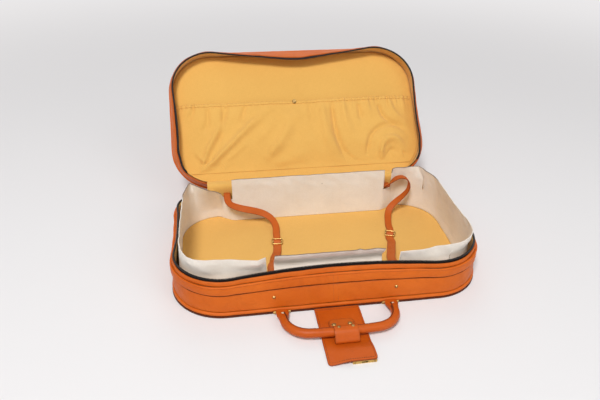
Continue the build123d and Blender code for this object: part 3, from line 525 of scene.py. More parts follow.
class Recipe(Nodes):
    """A material being put together."""

    def __init__(self, name: str) -> None:
        """Starts a material."""
        self.material = bpy.data.materials.new(name)
        self.material.use_nodes = True
        super().__init__(self.material.node_tree)
        self.shader = self.tree.nodes["Principled BSDF"]
        coordinates = self.node("TexCoord", {}).outputs
        self.space = coordinates["Object"]
        self.cloth = coordinates["UV"]

    def noise(self, scale: float, detail: float = 3.0, rough: float = 0.55, place: Socket | None = None,
              warp: float = 0.0) -> Socket:
        """Adds a noise, in the object's space unless a place is given."""
        return self.node("TexNoise", {"Vector": place or self.space, "Scale": scale, "Detail": detail,
                                      "Roughness": rough, "Distortion": warp}).outputs[0]

    def cells(self, scale: float) -> Socket:
        """Adds a pattern of rounded cells, as in grain."""
        return self.node("TexVoronoi", {"Vector": self.space, "Scale": scale}).outputs["Distance"]

    def waves(self, place: Socket, scale: float, warp: float, detail: float, way: str,
              fine: float = 1) -> Socket:
        """Adds even bands that run across a way."""
        inputs = {"Vector": place, "Scale": scale, "Distortion": warp, "Detail": detail, "Detail Scale": fine}
        return self.node("TexWave", inputs, bands_direction=way).outputs["Fac"]

    def stretched(self, place: Socket, scale: Triple, turn: float = 0.0) -> Socket:
        """Scales a place along each axis and turns it about Z."""
        return self.node("Mapping", {"Vector": place, "Scale": scale, "Rotation": (0, 0, turn)}).outputs[0]

    def ramp(self, value: Socket, low: float, high: float, start: float = 0.0, end: float = 1.0) -> Socket:
        """Maps a value from low…high to start…end, held at the ends."""
        return self.node("MapRange", {0: value, 1: low, 2: high, 3: start, 4: end}).outputs[0]

    def times(self, first: Socket, second: Socket | float) -> Socket:
        """Multiplies two values."""
        return self.maths("MULTIPLY", first, second)

    def mix(self, share: Socket, first: Socket | Triple, second: Socket | Triple) -> Socket:
        """Mixes two colours by a share."""
        colours = {key: (*value, 1) if isinstance(value, tuple) else value
                   for key, value in ((6, first), (7, second))}
        return self.node("Mix", {0: share, **colours}, data_type="RGBA").outputs[2]

    def edge(self) -> Socket:
        """Reads the edge share: nearness to a cut edge, and painted shade on the wall bands and the panel's
        rim.
        """
        return self.node("Attribute", {}, attribute_name="edge").outputs["Fac"]

    def bump(self, height: Socket, distance: float, strength: float, *below: Socket) -> Socket:
        """Raises the surface by a height; a second bump lies on the first."""
        made = self.node("Bump", {"Height": height, "Distance": distance, "Strength": strength})
        for first in below:
            self.put(made.inputs["Normal"], first)
        return made.outputs[0]

    def wire(self, **sockets: object) -> None:
        """Links sockets to the shader; underscores stand for spaces in their names."""
        for name, value in sockets.items():
            self.put(self.shader.inputs[name.replace("_", " ")], value)


class Surface:
    """A finish that paints a material of its own name."""

    name: str

    def make(self) -> bpy.types.Material:
        """Builds the material."""
        recipe = Recipe(self.name)
        self.paint(recipe)
        return recipe.material


@dataclass(frozen=True)
class Leather(Surface):
    """Smooth dyed leather with fine grain and faint clouds, darker at its worn edges; the same edge share
    also paints shade into grooves and under the piping.
    """

    name: str = "tan_leather"
    colour: Triple = (0.57, 0.108, 0.007)
    light: Triple = (0.7, 0.165, 0.016)
    dark: Triple = (0.12, 0.017, 0.003)
    roughness: float = 0.4
    shine: float = 0.2
    grain: float = 0.00012

    def paint(self, r: Recipe) -> None:
        """Adds its nodes."""
        cloud = r.ramp(r.noise(11, 4, 0.6, warp=0.4), 0.35, 0.7)
        base = r.mix(r.times(cloud, 0.55), self.colour, self.light)
        streak = r.ramp(r.noise(60, 5, 0.7), 0.52, 0.78)
        base = r.mix(r.times(streak, 0.16), base, self.dark)
        # The edge share darkens worn edges, and on the wall bands and the panel's rim it is painted shade in
        # the grooves and under the piping.
        edge = r.times(r.ramp(r.edge(), 0.25, 1), r.ramp(r.noise(170), 0.2, 0.8, 0.5, 0.85))
        base = r.mix(edge, base, self.dark)
        pores = r.ramp(r.cells(820), 0, 0.55)
        fine = r.noise(2300, 3, 0.6)
        grain = r.bump(r.maths("ADD", pores, r.times(fine, 0.5)), self.grain, 0.5)
        crease = r.ramp(r.noise(85, 6, 0.72, warp=1.2), 0.4, 0.62)
        rough = r.ramp(r.noise(40, 4), 0.3, 0.75, self.roughness, self.roughness + 0.12)
        r.wire(Base_Color=base, Roughness=rough, Specular_IOR_Level=self.shine,
               Normal=r.bump(crease, 0.0004, 0.35, grain))


@dataclass(frozen=True)
class Twill(Surface):
    """Yellow cotton with fine slanting ribs, threads of uneven colour and a soft nap."""

    name: str = "yellow_twill"
    colour: Triple = (0.8, 0.462, 0.118)
    dark: Triple = (0.58, 0.295, 0.058)
    pitch: float = 0.0011

    def paint(self, r: Recipe) -> None:
        """Adds its nodes."""
        turned = r.stretched(r.cloth, (1, 1, 1), math.radians(62))
        ribs = r.waves(turned, WAVE_PITCH / self.pitch, 0.6, 2, "X", 3)
        threads = r.noise(1, 3, 0.6, r.stretched(r.cloth, (90, 1400, 1)))
        weft = r.noise(1, 3, 0.6, r.stretched(r.cloth, (1400, 90, 1)))
        slub = r.maths("ADD", r.times(threads, 0.5), r.times(weft, 0.5))
        base = r.mix(r.ramp(slub, 0.36, 0.66, 0, 0.35), self.colour, self.dark)
        base = r.mix(r.ramp(ribs, 0, 0.45, 0.22, 0), base, self.dark)
        base = r.mix(r.ramp(r.noise(9), 0.4, 0.7, 0, 0.16), base, self.dark)
        height = r.maths("ADD", ribs, r.times(slub, 0.8))
        rumple = r.bump(r.noise(45, 3, 0.5), 0.0009, 0.22)
        r.wire(Base_Color=base, Roughness=0.88, Specular_IOR_Level=0.2, Sheen_Weight=0.18,
               Sheen_Roughness=0.5, Normal=r.bump(height, 0.00016, 0.55, rumple))


@dataclass(frozen=True)
class CreamHide(Surface):
    """Thin cream leather with a matt nap, faint mottling and a few small marks."""

    name: str = "cream_hide"
    colour: Triple = (0.83, 0.77, 0.69)
    dark: Triple = (0.63, 0.54, 0.43)
    mark: Triple = (0.13, 0.075, 0.04)

    def paint(self, r: Recipe) -> None:
        """Adds its nodes."""
        base = r.mix(r.ramp(r.noise(16, 5, 0.6), 0.42, 0.75, 0, 0.4), self.colour, self.dark)
        base = r.mix(r.ramp(r.noise(420, 4, 0.7), 0.45, 0.75, 0, 0.22), base, self.dark)
        specks = r.ramp(r.cells(26), 0.045, 0.022, 0, 0.55)
        base = r.mix(r.times(specks, r.ramp(r.noise(9, 2), 0.55, 0.62)), base, self.mark)
        base = r.mix(r.ramp(r.edge(), 0.3, 0.9, 0, 0.85), base, self.mark)
        nap = r.bump(r.noise(1500, 3, 0.7), 0.00014, 0.5)
        r.wire(Base_Color=base, Roughness=0.78, Specular_IOR_Level=0.14, Sheen_Weight=0.08,
               Normal=r.bump(r.ramp(r.noise(55, 4, 0.6, warp=0.6), 0.3, 0.7), 0.0007, 0.3, nap))


@dataclass(frozen=True)
class Woven(Surface):
    """Plain woven tape or cord: two crossing rows of threads."""

    name: str
    colour: Triple
    light: Triple
    pitch: float = 0.0009

    def paint(self, r: Recipe) -> None:
        """Adds its nodes."""
        weave = r.times(*(r.waves(r.cloth, WAVE_PITCH / self.pitch, 0.4, 1, way) for way in "XY"))
        dust = r.ramp(r.noise(240, 4, 0.7), 0.4, 0.8, 0, 0.5)
        base = r.mix(r.maths("ADD", r.times(weave, 0.4), dust), self.colour, self.light)
        r.wire(Base_Color=base, Roughness=0.85, Specular_IOR_Level=0.15, Normal=r.bump(weave, 0.00018, 0.7))


@dataclass(frozen=True)
class Brass(Surface):
    """Polished brass with fine scratches, a little tarnish and uneven shine."""

    name: str = "polished_brass"
    colour: Triple = (0.66, 0.44, 0.14)
    tarnish: Triple = (0.3, 0.17, 0.055)
    roughness: float = 0.25
    stain: float = 0.5

    def paint(self, r: Recipe) -> None:
        """Adds its nodes."""
        spots = r.ramp(r.noise(130, 5, 0.65), 0.48, 0.72, 0, self.stain)
        base = r.mix(spots, self.colour, self.tarnish)
        base = r.mix(r.ramp(r.edge(), 0.4, 1, 0, 0.8), base, self.tarnish)
        lines = r.noise(1, 4, 0.7, r.stretched(r.space, (2600, 260, 900), 0.5))
        r.wire(Base_Color=base, Metallic=1,
               Roughness=r.ramp(r.noise(300, 4), 0.3, 0.7, self.roughness, self.roughness + 0.16),
               Normal=r.bump(lines, 0.00005, 0.3))


@dataclass(frozen=True)
class Nylon(Surface):
    """Black moulded teeth with a dull shine and worn lighter tips."""

    name: str = "black_teeth"
    colour: Triple = (0.007, 0.005, 0.005)
    light: Triple = (0.022, 0.018, 0.017)

    def paint(self, r: Recipe) -> None:
        """Adds its nodes."""
        r.wire(Base_Color=r.mix(r.ramp(r.noise(500, 4), 0.45, 0.75, 0, 0.7), self.colour, self.light),
               Roughness=r.ramp(r.noise(220), 0.3, 0.7, 0.32, 0.5), Specular_IOR_Level=0.3,
               Normal=r.bump(r.noise(1400), 0.00008, 0.5))


@dataclass(frozen=True)
class FibreBoard(Surface):
    """Pressed grey-brown board with long fibres."""

    name: str = "pressed_board"
    colour: Triple = (0.27, 0.16, 0.075)
    light: Triple = (0.42, 0.28, 0.15)

    def paint(self, r: Recipe) -> None:
        """Adds its nodes."""
        fibre = r.noise(1, 5, 0.7, r.stretched(r.space, (90, 620, 620)))
        r.wire(Base_Color=r.mix(r.ramp(fibre, 0.35, 0.7), self.colour, self.light), Roughness=0.85,
               Normal=r.bump(fibre, 0.0003, 0.5))


@dataclass(frozen=True)
class Thread(Surface):
    """Waxed sewing thread with a fine twist."""

    name: str
    colour: Triple
    dark: Triple

    def paint(self, r: Recipe) -> None:
        """Adds its nodes."""
        ply = r.waves(r.space, 700, 1, 2, "DIAGONAL")
        base = r.mix(r.ramp(ply, 0, 0.6, 0.6, 0), self.colour, self.dark)
        base = r.mix(r.ramp(r.noise(90), 0.4, 0.7, 0, 0.4), base, self.dark)
        r.wire(Base_Color=base, Roughness=0.6, Normal=r.bump(ply, 0.0001, 0.5))


class Finish(Enum):
    """The finishes, each with the material slot that it belongs to."""

    LEATHER = ("leather", Leather())
    FLAP_LEATHER = ("leather", Leather("flap_leather", (0.49, 0.08, 0.004), (0.58, 0.114, 0.008),
                                       roughness=0.36, shine=0.24))
    STRAP_LEATHER = ("leather", Leather("strap_leather", (0.47, 0.088, 0.008), (0.56, 0.125, 0.014),
                                        roughness=0.42))
    EDGE = ("edge", Leather("dark_leather", (0.16, 0.032, 0.009), (0.23, 0.05, 0.014), (0.045, 0.011, 0.005),
                            0.5))
    TWILL = ("lining", Twill())
    CREAM = ("cream", CreamHide())
    TAPE = ("zip_cloth", Woven("black_tape", (0.006, 0.004, 0.004), (0.022, 0.018, 0.016)))
    TEETH = ("zip_teeth", Nylon())
    BRASS = ("brass", Brass())
    OLD_BRASS = ("brass", Brass("old_brass", (0.42, 0.27, 0.1), (0.07, 0.04, 0.02), 0.3, 0.8))
    BOARD = ("board", FibreBoard())
    CORD = ("core", Woven("twisted_cord", (0.62, 0.53, 0.37), (0.8, 0.74, 0.6), 0.0016))
    TAN_THREAD = ("leather", Thread("tan_thread", (0.43, 0.095, 0.014), (0.2, 0.04, 0.008)))
    DARK_THREAD = ("leather", Thread("brown_thread", (0.1, 0.022, 0.006), (0.04, 0.01, 0.004)))
    YELLOW_THREAD = ("lining", Thread("yellow_thread", (0.74, 0.43, 0.11), (0.5, 0.26, 0.06)))

    def material(self) -> bpy.types.Material:
        """Gives the finish's material, made on first use."""
        return bpy.data.materials.get(self.value[1].name) or self.value[1].make()


class Body(Enum):
    """The bodies that pieces ride on."""

    BASE = "base"
    LID = "lid"
    BACK_FLAP = "back_flap_body"
    FRONT_FLAP = "front_flap_body"
    HANDLE = "handle_body"
    LOCK_FLAP = "lock_flap_body"


def shown(name: str, data: bpy.types.ID) -> Made:
    """Puts an object of a mesh, a lamp or a camera into the scene."""
    made = bpy.data.objects.new(name, data)
    bpy.context.scene.collection.objects.link(made)
    return made


@dataclass
class Piece:
    """One piece: its shape, its finish, the body it rides on and the nodes that it stands for, with blanks
    between their names. A blend names the body at the far end and the places where it starts and ends, but
    only its presence is read: such a piece is baked in place and set on no body."""

    name: str
    shape: Shape
    finish: Finish
    body: Body
    replaces: str = ""
    closed: bool = True
    thickness: float = 0
    offset: float = -1
    blend: tuple[Body, Triple, Triple] | None = None

    def mesh(self) -> bpy.types.Mesh:
        """Puts the shape's arrays into a mesh, in metres.

        Returns:
            The mesh, with cloth map, edge shares and finish.
        """
        mesh = bpy.data.meshes.new(self.name)
        faces = [face for group in self.shape.faces for face in group.tolist()]
        mesh.from_pydata((self.shape.points * MM).tolist(), [], faces)
        flat = np.concatenate([corners.ravel() for corners in self.shape.corners])
        mesh.uv_layers.new(name="cloth").data.foreach_set("uv", flat)
        share = mesh.attributes.new("edge", "FLOAT", "POINT")
        share.data.foreach_set("value", self.shape.edge.astype(np.float32))
        if self.closed:
            work = bmesh.new()
            work.from_mesh(mesh)
            bmesh.ops.recalc_face_normals(work, faces=work.faces)
            work.to_mesh(mesh)
            work.free()
        mesh.polygons.foreach_set("use_smooth", np.ones(len(mesh.polygons), bool))
        mesh.materials.append(self.finish.material())
        return mesh

    def make(self) -> Made:
        """Makes the object, sets it on its body and reports it.

        Returns:
            The object.
        """
        made = shown(self.name, self.mesh())
        if self.thickness:
            solid = made.modifiers.new("cloth", "SOLIDIFY")
            solid.thickness = self.thickness * MM
            solid.offset = self.offset
        if self.replaces:
            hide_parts(*self.replaces.split())
        if self.blend:
            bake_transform(made)
        else:
            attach(made, self.body.value)
        log.info("%s: %d points on %s", self.name, len(self.shape.points), self.body.value)
        return made


def dress(nodes: dict[str, Made], finish: Finish, *names: str) -> None:
    """Gives carried CAD nodes a finish in place of their own materials."""
    for name in names:
        mesh = nodes[name].data
        mesh.materials.clear()
        mesh.materials.append(finish.material())
        log.info("%s: finish %s", name, finish.value[1].name)


# The case


# The two halves' heights from the panel's outer face to the rim, the hinge line, the foot of the walls, the
# line that handle and flap swing on, and how the open lid leans: ALONG runs up it and OUT into it.
BASE_HEIGHT = 72.0
LID_HEIGHT = 38.0
HINGE_Y = 160.7
WALL_LOW = 9.8
PIVOT_Y = -164.5
LEAN = math.radians(47)
ALONG = np.array([0, math.sin(LEAN), math.cos(LEAN)])
OUT = np.array([0, math.cos(LEAN), -math.sin(LEAN)])


def lid_place(x: Array | float, v: Array | float, n: Array | float) -> Array:
    """Gives the point of the open lid at x, v from the hinge line and n deep from the rim."""
    x, v, n = np.broadcast_arrays(x, v, n)
    start = np.array([0, HINGE_Y, BASE_HEIGHT])
    return start + x[..., None] * X_AXIS + v[..., None] * ALONG + n[..., None] * OUT


def upright(section: Array, inset: float, level: float) -> Array:
    """Stands a section on end: its thickness is added to an inset and its width to a level."""
    return section[:, ::-1] + (inset, level)


def rightward(ahead: Array) -> Array:
    """Turns level directions to their right: outward on an anticlockwise loop."""
    return places(ahead[..., 1], -ahead[..., 0], 0)


@dataclass(frozen=True)
class Outline:
    """The case's outline from above: straight back and sides, round corners, and a front that is drawn in
    towards the rim."""

    length: float = 550
    depth: float = 315
    corner: float = 90
    draw: float = 26
    corner_draw: float = 9

    @property
    def run_x(self) -> float:
        """Half the straight run of the back."""
        return self.length / 2 - self.corner

    @property
    def run_y(self) -> float:
        """Half the straight run of a side."""
        return self.depth / 2 - self.corner

    def loop(self, inset: Array, share: Array, cut: float | None = None) -> Array:
        """Draws the outline for several insets and shares of the draw.

        The back is the line y = depth/2 − inset; each corner is an arc of radius corner − inset; the front is
        one arc that touches both front corners and passes the drawn middle. The right half mirrors the left.

        Args:
            inset: How far inside the outer face each loop lies.
            share: How far each loop is drawn in, from 0 to 1.
            cut: The angle round the back corners at which the loop starts and ends, if it is cut.

        Returns:
            The loops, (count, points, 2), anticlockwise from the back.
        """
        inset = np.atleast_1d(np.asarray(inset, float))[:, None]
        share = np.maximum(np.atleast_1d(np.asarray(share, float)), 1e-4)[:, None]
        radius = self.corner - inset
        centre_y = -self.run_y + self.corner_draw * share
        middle = self.draw * share - self.depth / 2 + inset
        lift = centre_y - middle
        arc = (self.run_x**2 + lift**2 - radius**2) / (2 * (radius - lift))
        turn = np.arctan2(self.run_x, lift + arc)
        t = np.linspace(0, 1, 46, endpoint=False)
        back = places(-self.run_x * t, self.depth / 2 - inset)
        angle = np.linspace(np.pi / 2 + (cut or 0), np.pi, 36, endpoint=False)
        back_corner = round_at(-self.run_x, self.run_y, radius, angle)
        t = np.linspace(0, 1, 34, endpoint=False)
        side = places(inset - self.length / 2, self.run_y + (centre_y - self.run_y) * t)
        angle = np.pi + (np.pi / 2 + turn) * np.linspace(0, 1, 40, endpoint=False)
        front_corner = round_at(-self.run_x, centre_y, radius, angle)
        angle = -turn * (1 - np.linspace(0, 1, 48))
        front = places(arc * np.sin(angle), middle - arc + arc * np.cos(angle))
        left = np.concatenate([back, back_corner, side, front_corner, front][bool(cut):], 1)
        right = left[:, ::-1] * (-1, 1)
        return np.concatenate([left, right[:, 1:] if cut else right[:, 1:-1]], 1)


class Half(Enum):
    """The two halves of the case, each modelled upright on its own panel."""

    BASE = "base"
    LID = "lid"

    @property
    def height(self) -> float:
        """From the panel's outer face to the rim."""
        return BASE_HEIGHT if self is Half.BASE else LID_HEIGHT

    def world(self, points: Array) -> Array:
        """Moves points from the half's own frame to the world."""
        if self is Half.BASE:
            return points
        return lid_place(-points[..., 0], HINGE_Y - points[..., 1], LID_HEIGHT - points[..., 2])


@dataclass(frozen=True)
class Band:
    """A band of the wall's leather."""

    name: str
    low: float
    high: float
    inset: float
    thickness: float
    crown: float
    replaces: str
    # How dark the low and high edges are: partly the edges' own colour, partly painted shade in the grooves
    # beside them.
    dark: Pair
    bead: float = 0


@dataclass
class CaseHalf:
    """One half of the case: leather wall, welt, panel, zip tape and teeth, and the cloth inside."""

    half: Half
    bands: tuple[Band, ...]
    zip_angle: float
    seam: float
    outline: Outline = Outline()
    panel_top: float = 2.2
    welt_level: float = 6.4
    welt_radius: float = 3.4
    tape_width: float = 10.4
    tape_inset: float = 2.6
    tape_thickness: float = 1.2
    teeth_top: float = 0.6
    tooth_width: float = 4
    tooth_pitch: float = 2.3
    lining_inset: float = 4.4
    side_lean: float = 11.5
    edge_lean: float = 7.5
    base_lean: float = 8
    edge_and_groove_shade_width: float = 1.9
    joint_half: float = 3.85

    def share(self, level: Array) -> Array:
        """How far the wall is drawn in at a level, as a share of the full draw."""
        return np.maximum(0, (np.asarray(level, float) - WALL_LOW) / (self.half.height - WALL_LOW))

    def swept(self, profile: Array, cut: float | None = None) -> Array:
        """Carries insets and levels round the case: a grid of (round it, along the profile, 3)."""
        loops = self.outline.loop(profile[:, 0], self.share(profile[:, 1]), cut)
        return np.swapaxes(lifted(loops, profile[:, 1:]), 0, 1)

    def outward(self, points: Array, closed: bool) -> Array:
        """Gives the level direction that points out of the wall at each place along a loop."""
        line = points[:, 0]
        ahead = np.roll(line, -1, 0) - np.roll(line, 1, 0) if closed else np.gradient(line, axis=0)
        return rightward(unit(ahead * (1, 1, 0)))

    def uneven(self, points: Array, size: float, amount: float, seed: int, closed: bool = True) -> Array:
        """Moves points out of the wall by a soft unevenness."""
        moved = (amount * ripple(points, size, seed))[..., None]
        return points + self.outward(points, closed)[:, None] * moved

    def waved(self, points: Array, number: int) -> Array:
        """Gives points on a band the broad waves of its leather."""
        return self.uneven(points, 46, 0.4, 11 + number)

    def slumped(self, points: Array) -> Array:
        """Lets the walls lean in towards the rim, the lid's most at its sides and at the middle of its edge.

        The lean is share^1.3 times a bell of the distance from the hinge, and share times a bell of the
        distance from the middle. Of the base's walls only the left one leans.

        Args:
            points: Points in the half's own frame.

        Returns:
            The moved points.
        """
        moved = points.copy()
        share = np.clip(self.share(points[:, 2]), 0, 1.05)
        if self.half is Half.BASE:
            where = smooth(points[:, 1], -95, 5) * (1 - smooth(points[:, 1], 62, 112))
            moved[:, 0] += self.base_lean * share**1.3 * where * smooth(-points[:, 0], 150, 235)
            moved[:, 1] = np.minimum(moved[:, 1], self.outline.depth / 2 + 0.9)
            return moved
        along = HINGE_Y - points[:, 1]
        side = self.side_lean * share**1.3 * hill(along, 115, 112) * smooth(along, 26, 70)
        moved[:, 0] -= np.sign(points[:, 0]) * side * smooth(np.abs(points[:, 0]), 120, 225)
        moved[:, 1] += self.edge_lean * share * hill(points[:, 0], -8, 62) * smooth(-points[:, 1], 60, 110)
        return moved

    def piece(self, name: str, shape: Shape, finish: Finish, replaces: str = "", **more: object) -> Made:
        """Makes a shape a piece of this half, whose name starts its own and its node's."""
        shape.points = self.half.world(self.slumped(shape.points))
        half = self.half.value
        node = replaces and f"{half}_{replaces}"
        return Piece(f"{half}_{name}", shape, finish, Body(half), node, **more).make()

    def build_wall(self) -> None:
        """Builds the wall's bands: crowned strips of leather with turned edges, slightly uneven."""
        for number, band in enumerate(self.bands):
            section = slab_profile(band.high - band.low, band.thickness, 0.45 * band.thickness, band.crown)[0]
            profile = upright(section * (1, -1), band.inset + band.thickness / 2, (band.high + band.low) / 2)
            points = self.uneven(self.waved(self.swept(profile), number), 15, 0.13, 31 + number)
            level = profile[:, 1]
            # Darkens each band's low and high edges: partly the turned edges' own darker colour, partly
            # painted shade in the grooves between bands and along the piping and zip. The joint's faint lines
            # at the front middle are the seam's own.
            near = np.maximum(band.dark[0] * (1 - smooth(level, band.low, band.low + self.edge_and_groove_shade_width)),
                              band.dark[1] * smooth(level, band.high - self.edge_and_groove_shade_width, band.high))
            joint = 0.32 * hill(np.abs(points[..., 0]), self.joint_half, 1.5) * (points[..., 1] < 0)
            edge = np.maximum(near, joint if self.half is Half.BASE else 0)
            self.piece(band.name, grid(points, (True, True), edge), Finish.LEATHER, band.replaces)
            if band.bead:
                cord = self.swept(round_at(band.inset + 0.5, band.high - 0.5, band.bead, circle(12)))
                shape = grid(self.waved(cord, number), (True, True))
                self.piece(f"{band.name}_bead", shape, Finish.LEATHER)

    def build_seams(self) -> None:
        """Sews the row on the upper band, and the upright seam at the middle of the front."""
        number = len(self.bands) - 1
        band = self.bands[number]
        line = self.waved(self.swept(np.array([[band.inset - band.crown * 0.3 - 0.05, self.seam]])), number)
        rows = [stitches(line[:, 0], self.outward(line, True), closed=True)]
        level = np.linspace(WALL_LOW + 2, self.half.height - 7, 40)
        proud = np.full(40, -0.35)
        for band in self.bands:
            proud[(level > band.low) & (level < band.high)] = band.inset - band.crown * 0.8
        front = self.outline.draw * self.share(level) - self.outline.depth / 2 + proud
        rows += [stitches(places(x, front, level), -Y_AXIS, 3.2, 2.3, 0.26)
                 for x in (-self.joint_half, self.joint_half)]
        self.piece("stitches", merged(rows), Finish.TAN_THREAD)

    def build_welt(self) -> None:
        """Builds the covered cord at the foot of the wall."""
        points = self.swept(round_at(0.9, self.welt_level, self.welt_radius, circle(16)))
        points = self.uneven(points, 22, 0.1, 41)
        low, high = self.welt_level - self.welt_radius, self.welt_level + self.welt_radius
        points[..., 2] = np.clip(points[..., 2] + 0.1 * ripple(points, 17, 43), low, high)
        self.piece("piping", grid(points, (True, True)), Finish.LEATHER, "welt")

    def build_foot_edge_and_shade(self) -> None:
        """Builds the dark turned edge of the panel, which shows under the piping; its near-black colour is
        partly the edge's own and partly painted contact shade.
        """
        profile = upright(slab_profile(2.7, 3.4, 0.8)[0], -1.15, 1.38)
        # Full edge share: the near-black is partly painted contact shade under the piping.
        self.piece("foot_edge_and_shade", grid(self.swept(profile), (True, True), np.ones(1)), Finish.EDGE)

    def build_panel(self) -> None:
        """Builds the panel: rings shrink towards its middle, with a turned edge and a faint dome."""
        edge = np.array([[1.5, 2.2], [1.2, 1.9], [1.1, 1.1], [1.2, 0.35], [1.6, 0.02], [2.4, 0]])
        rings = lifted(self.outline.loop(edge[:, 0], np.zeros(len(edge))), edge[:, 1:])
        shrink = np.linspace(0.97, 0.04, 22)[:, None]
        under = lifted(rings[-1] * shrink[..., None])
        dome = 0.18 * smooth(1 - shrink, 0.03, 0.5) + 0.08 * ripple(under, 60, 51)
        under[..., 2] = np.maximum(dome, 0)
        over = lifted(rings[0] * shrink[::-1, :, None], self.panel_top)
        points = np.concatenate([over, rings, under])
        shape = poled(points, UP * self.panel_top, UP * 0.18)
        # The rim's turned edge gets the full edge share: partly its own dark edge, partly painted contact
        # shade under the piping.
        shape.edge[(len(over) - 3) * points.shape[1]:(len(over) + len(rings) + 1) * points.shape[1]] = 1.0
        self.piece("outer_panel", shape, Finish.LEATHER, "panel")
        line = lifted(self.outline.loop([9], [0])[0], 0.3 if self.half is Half.BASE else 0.03)
        self.piece("panel_stitches", stitches(line, -UP, closed=True, radius=0.28), Finish.TAN_THREAD)

    def build_zip(self) -> None:
        """Builds the tape with its corded edge, and the teeth, each a tapered block."""
        top = self.half.height - self.teeth_top - 1.0
        cut = math.radians(self.zip_angle)
        mid = self.tape_inset + self.tape_thickness / 2
        section = slab_profile(self.tape_width, self.tape_thickness, 0.5)[0]
        profile = upright(section, mid, top - self.tape_width / 2)
        cord = profile[:, 1] > top - 1.6
        profile[cord, 0] = mid + (profile[cord, 0] - mid) * 2.3
        points = self.uneven(self.swept(profile, cut), 30, 0.12, 61, closed=False)
        self.piece("tape", grid(points, (False, True), capped=True), Finish.TAPE, "zip_tape")

        line = self.swept(np.array([[mid, top + 0.5]]), cut)
        out = self.outward(line, False)
        count = int(path_length(line[:, 0]) / self.tooth_pitch)
        read = resample(np.concatenate([line[:, 0], out], 1), (np.arange(count) + 0.5) * self.tooth_pitch)
        axis = unit(read[:, 3:])
        axes = np.stack([np.cross(UP, axis), axis, UP + 0 * axis], 1)
        ring = np.array([[-1, -0.5], [-0.72, 0.42], [-0.25, 0.6], [0.25, 0.6], [0.72, 0.42], [1, -0.5]])
        half = self.tooth_pitch * 0.36
        tooth = places(np.array([[-half], [half]]), ring[:, 0] * self.tooth_width / 2, ring[:, 1])
        teeth = scatter(grid(tooth, (False, True), capped=True), read[:, :3], axes)
        self.piece("teeth", teeth, Finish.TEETH, "zip_teeth")

    def build_frame(self) -> None:
        """Builds the stiffening board between leather and cloth."""
        top = self.half.height - 12
        profile = upright(slab_profile(top - WALL_LOW, 1.7, 0.3)[0], 3.5, (top + WALL_LOW) / 2)
        self.piece("stiffener", grid(self.swept(profile), (True, True)), Finish.BOARD, "frame")

    def build_lining(self) -> None:
        """Builds the cloth on the wall's inner face, with soft upright creases."""
        low, high = 4.2, self.half.height - 3.4
        level = np.linspace(low, high, 12)
        points = self.swept(places(self.lining_inset + 0.1, level))
        run = lengths(points, 0, True)[:-1, None]
        height = high - low
        crease = 0.35 * np.sin(run / 17 + 2 * np.sin(run / 61)) * np.sin(np.pi * (level - low) / height)
        points -= self.outward(points, True)[:, None] * (0.25 + np.abs(crease))[..., None]
        shape = grid(points[:, ::-1], (True, False))
        made = self.piece("side_cloth", shape, Finish.TWILL, "side_lining",
                          closed=False, thickness=0.8, offset=0)
        hem = self.swept(np.array([[self.lining_inset + 1.25, high - 3.2]]))
        row = stitches(hem[:, 0], -self.outward(hem, True), 3.4, 2.3, 0.22, True)
        self.piece("side_stitches", row, Finish.YELLOW_THREAD)

    def build(self) -> None:
        """Builds the half."""
        self.build_wall()
        self.build_seams()
        self.build_welt()
        self.build_panel()
        self.build_zip()
        self.build_frame()
        self.build_lining()


class Lid(CaseHalf):
    """The lid, which adds the cloth on its ceiling."""

    def build_ceiling(self) -> None:
        """Builds the ceiling cloth from shrinking rings; it swells and puckers inside its sewn rim."""
        shrink = np.linspace(1, 0.03, 46)[:, None]
        ring = self.outline.loop([5.6], [0])[0]
        points = lifted(ring) * shrink[..., None]
        edge_run = (1 - shrink) * 157
        puff = 0.9 * smooth(edge_run, 0, 16)
        angle = np.arctan2(points[..., 1], points[..., 0])
        pucker = 0.35 * np.sin(angle * 61 + 2 * np.sin(angle * 7)) * hill(edge_run, 5, 6)
        points[..., 2] = 4.25 + puff + pucker + 0.32 * ripple(points, 55, 71) * smooth(edge_run, 2, 20)
        shape = grid(points, (False, True))
        here = np.arange(len(ring))
        last = len(shape.points) - len(ring)
        fan = places(last + here, last + (here + 1) % len(ring), len(shape.points))
        shape = Shape(np.concatenate([shape.points, [UP * 5.1]]), shape.faces + [fan])
        shape.map_flat()
        made = self.piece("ceiling_cloth", shape, Finish.TWILL, "ceiling_lining", closed=False, thickness=0.7,
                          offset=0)


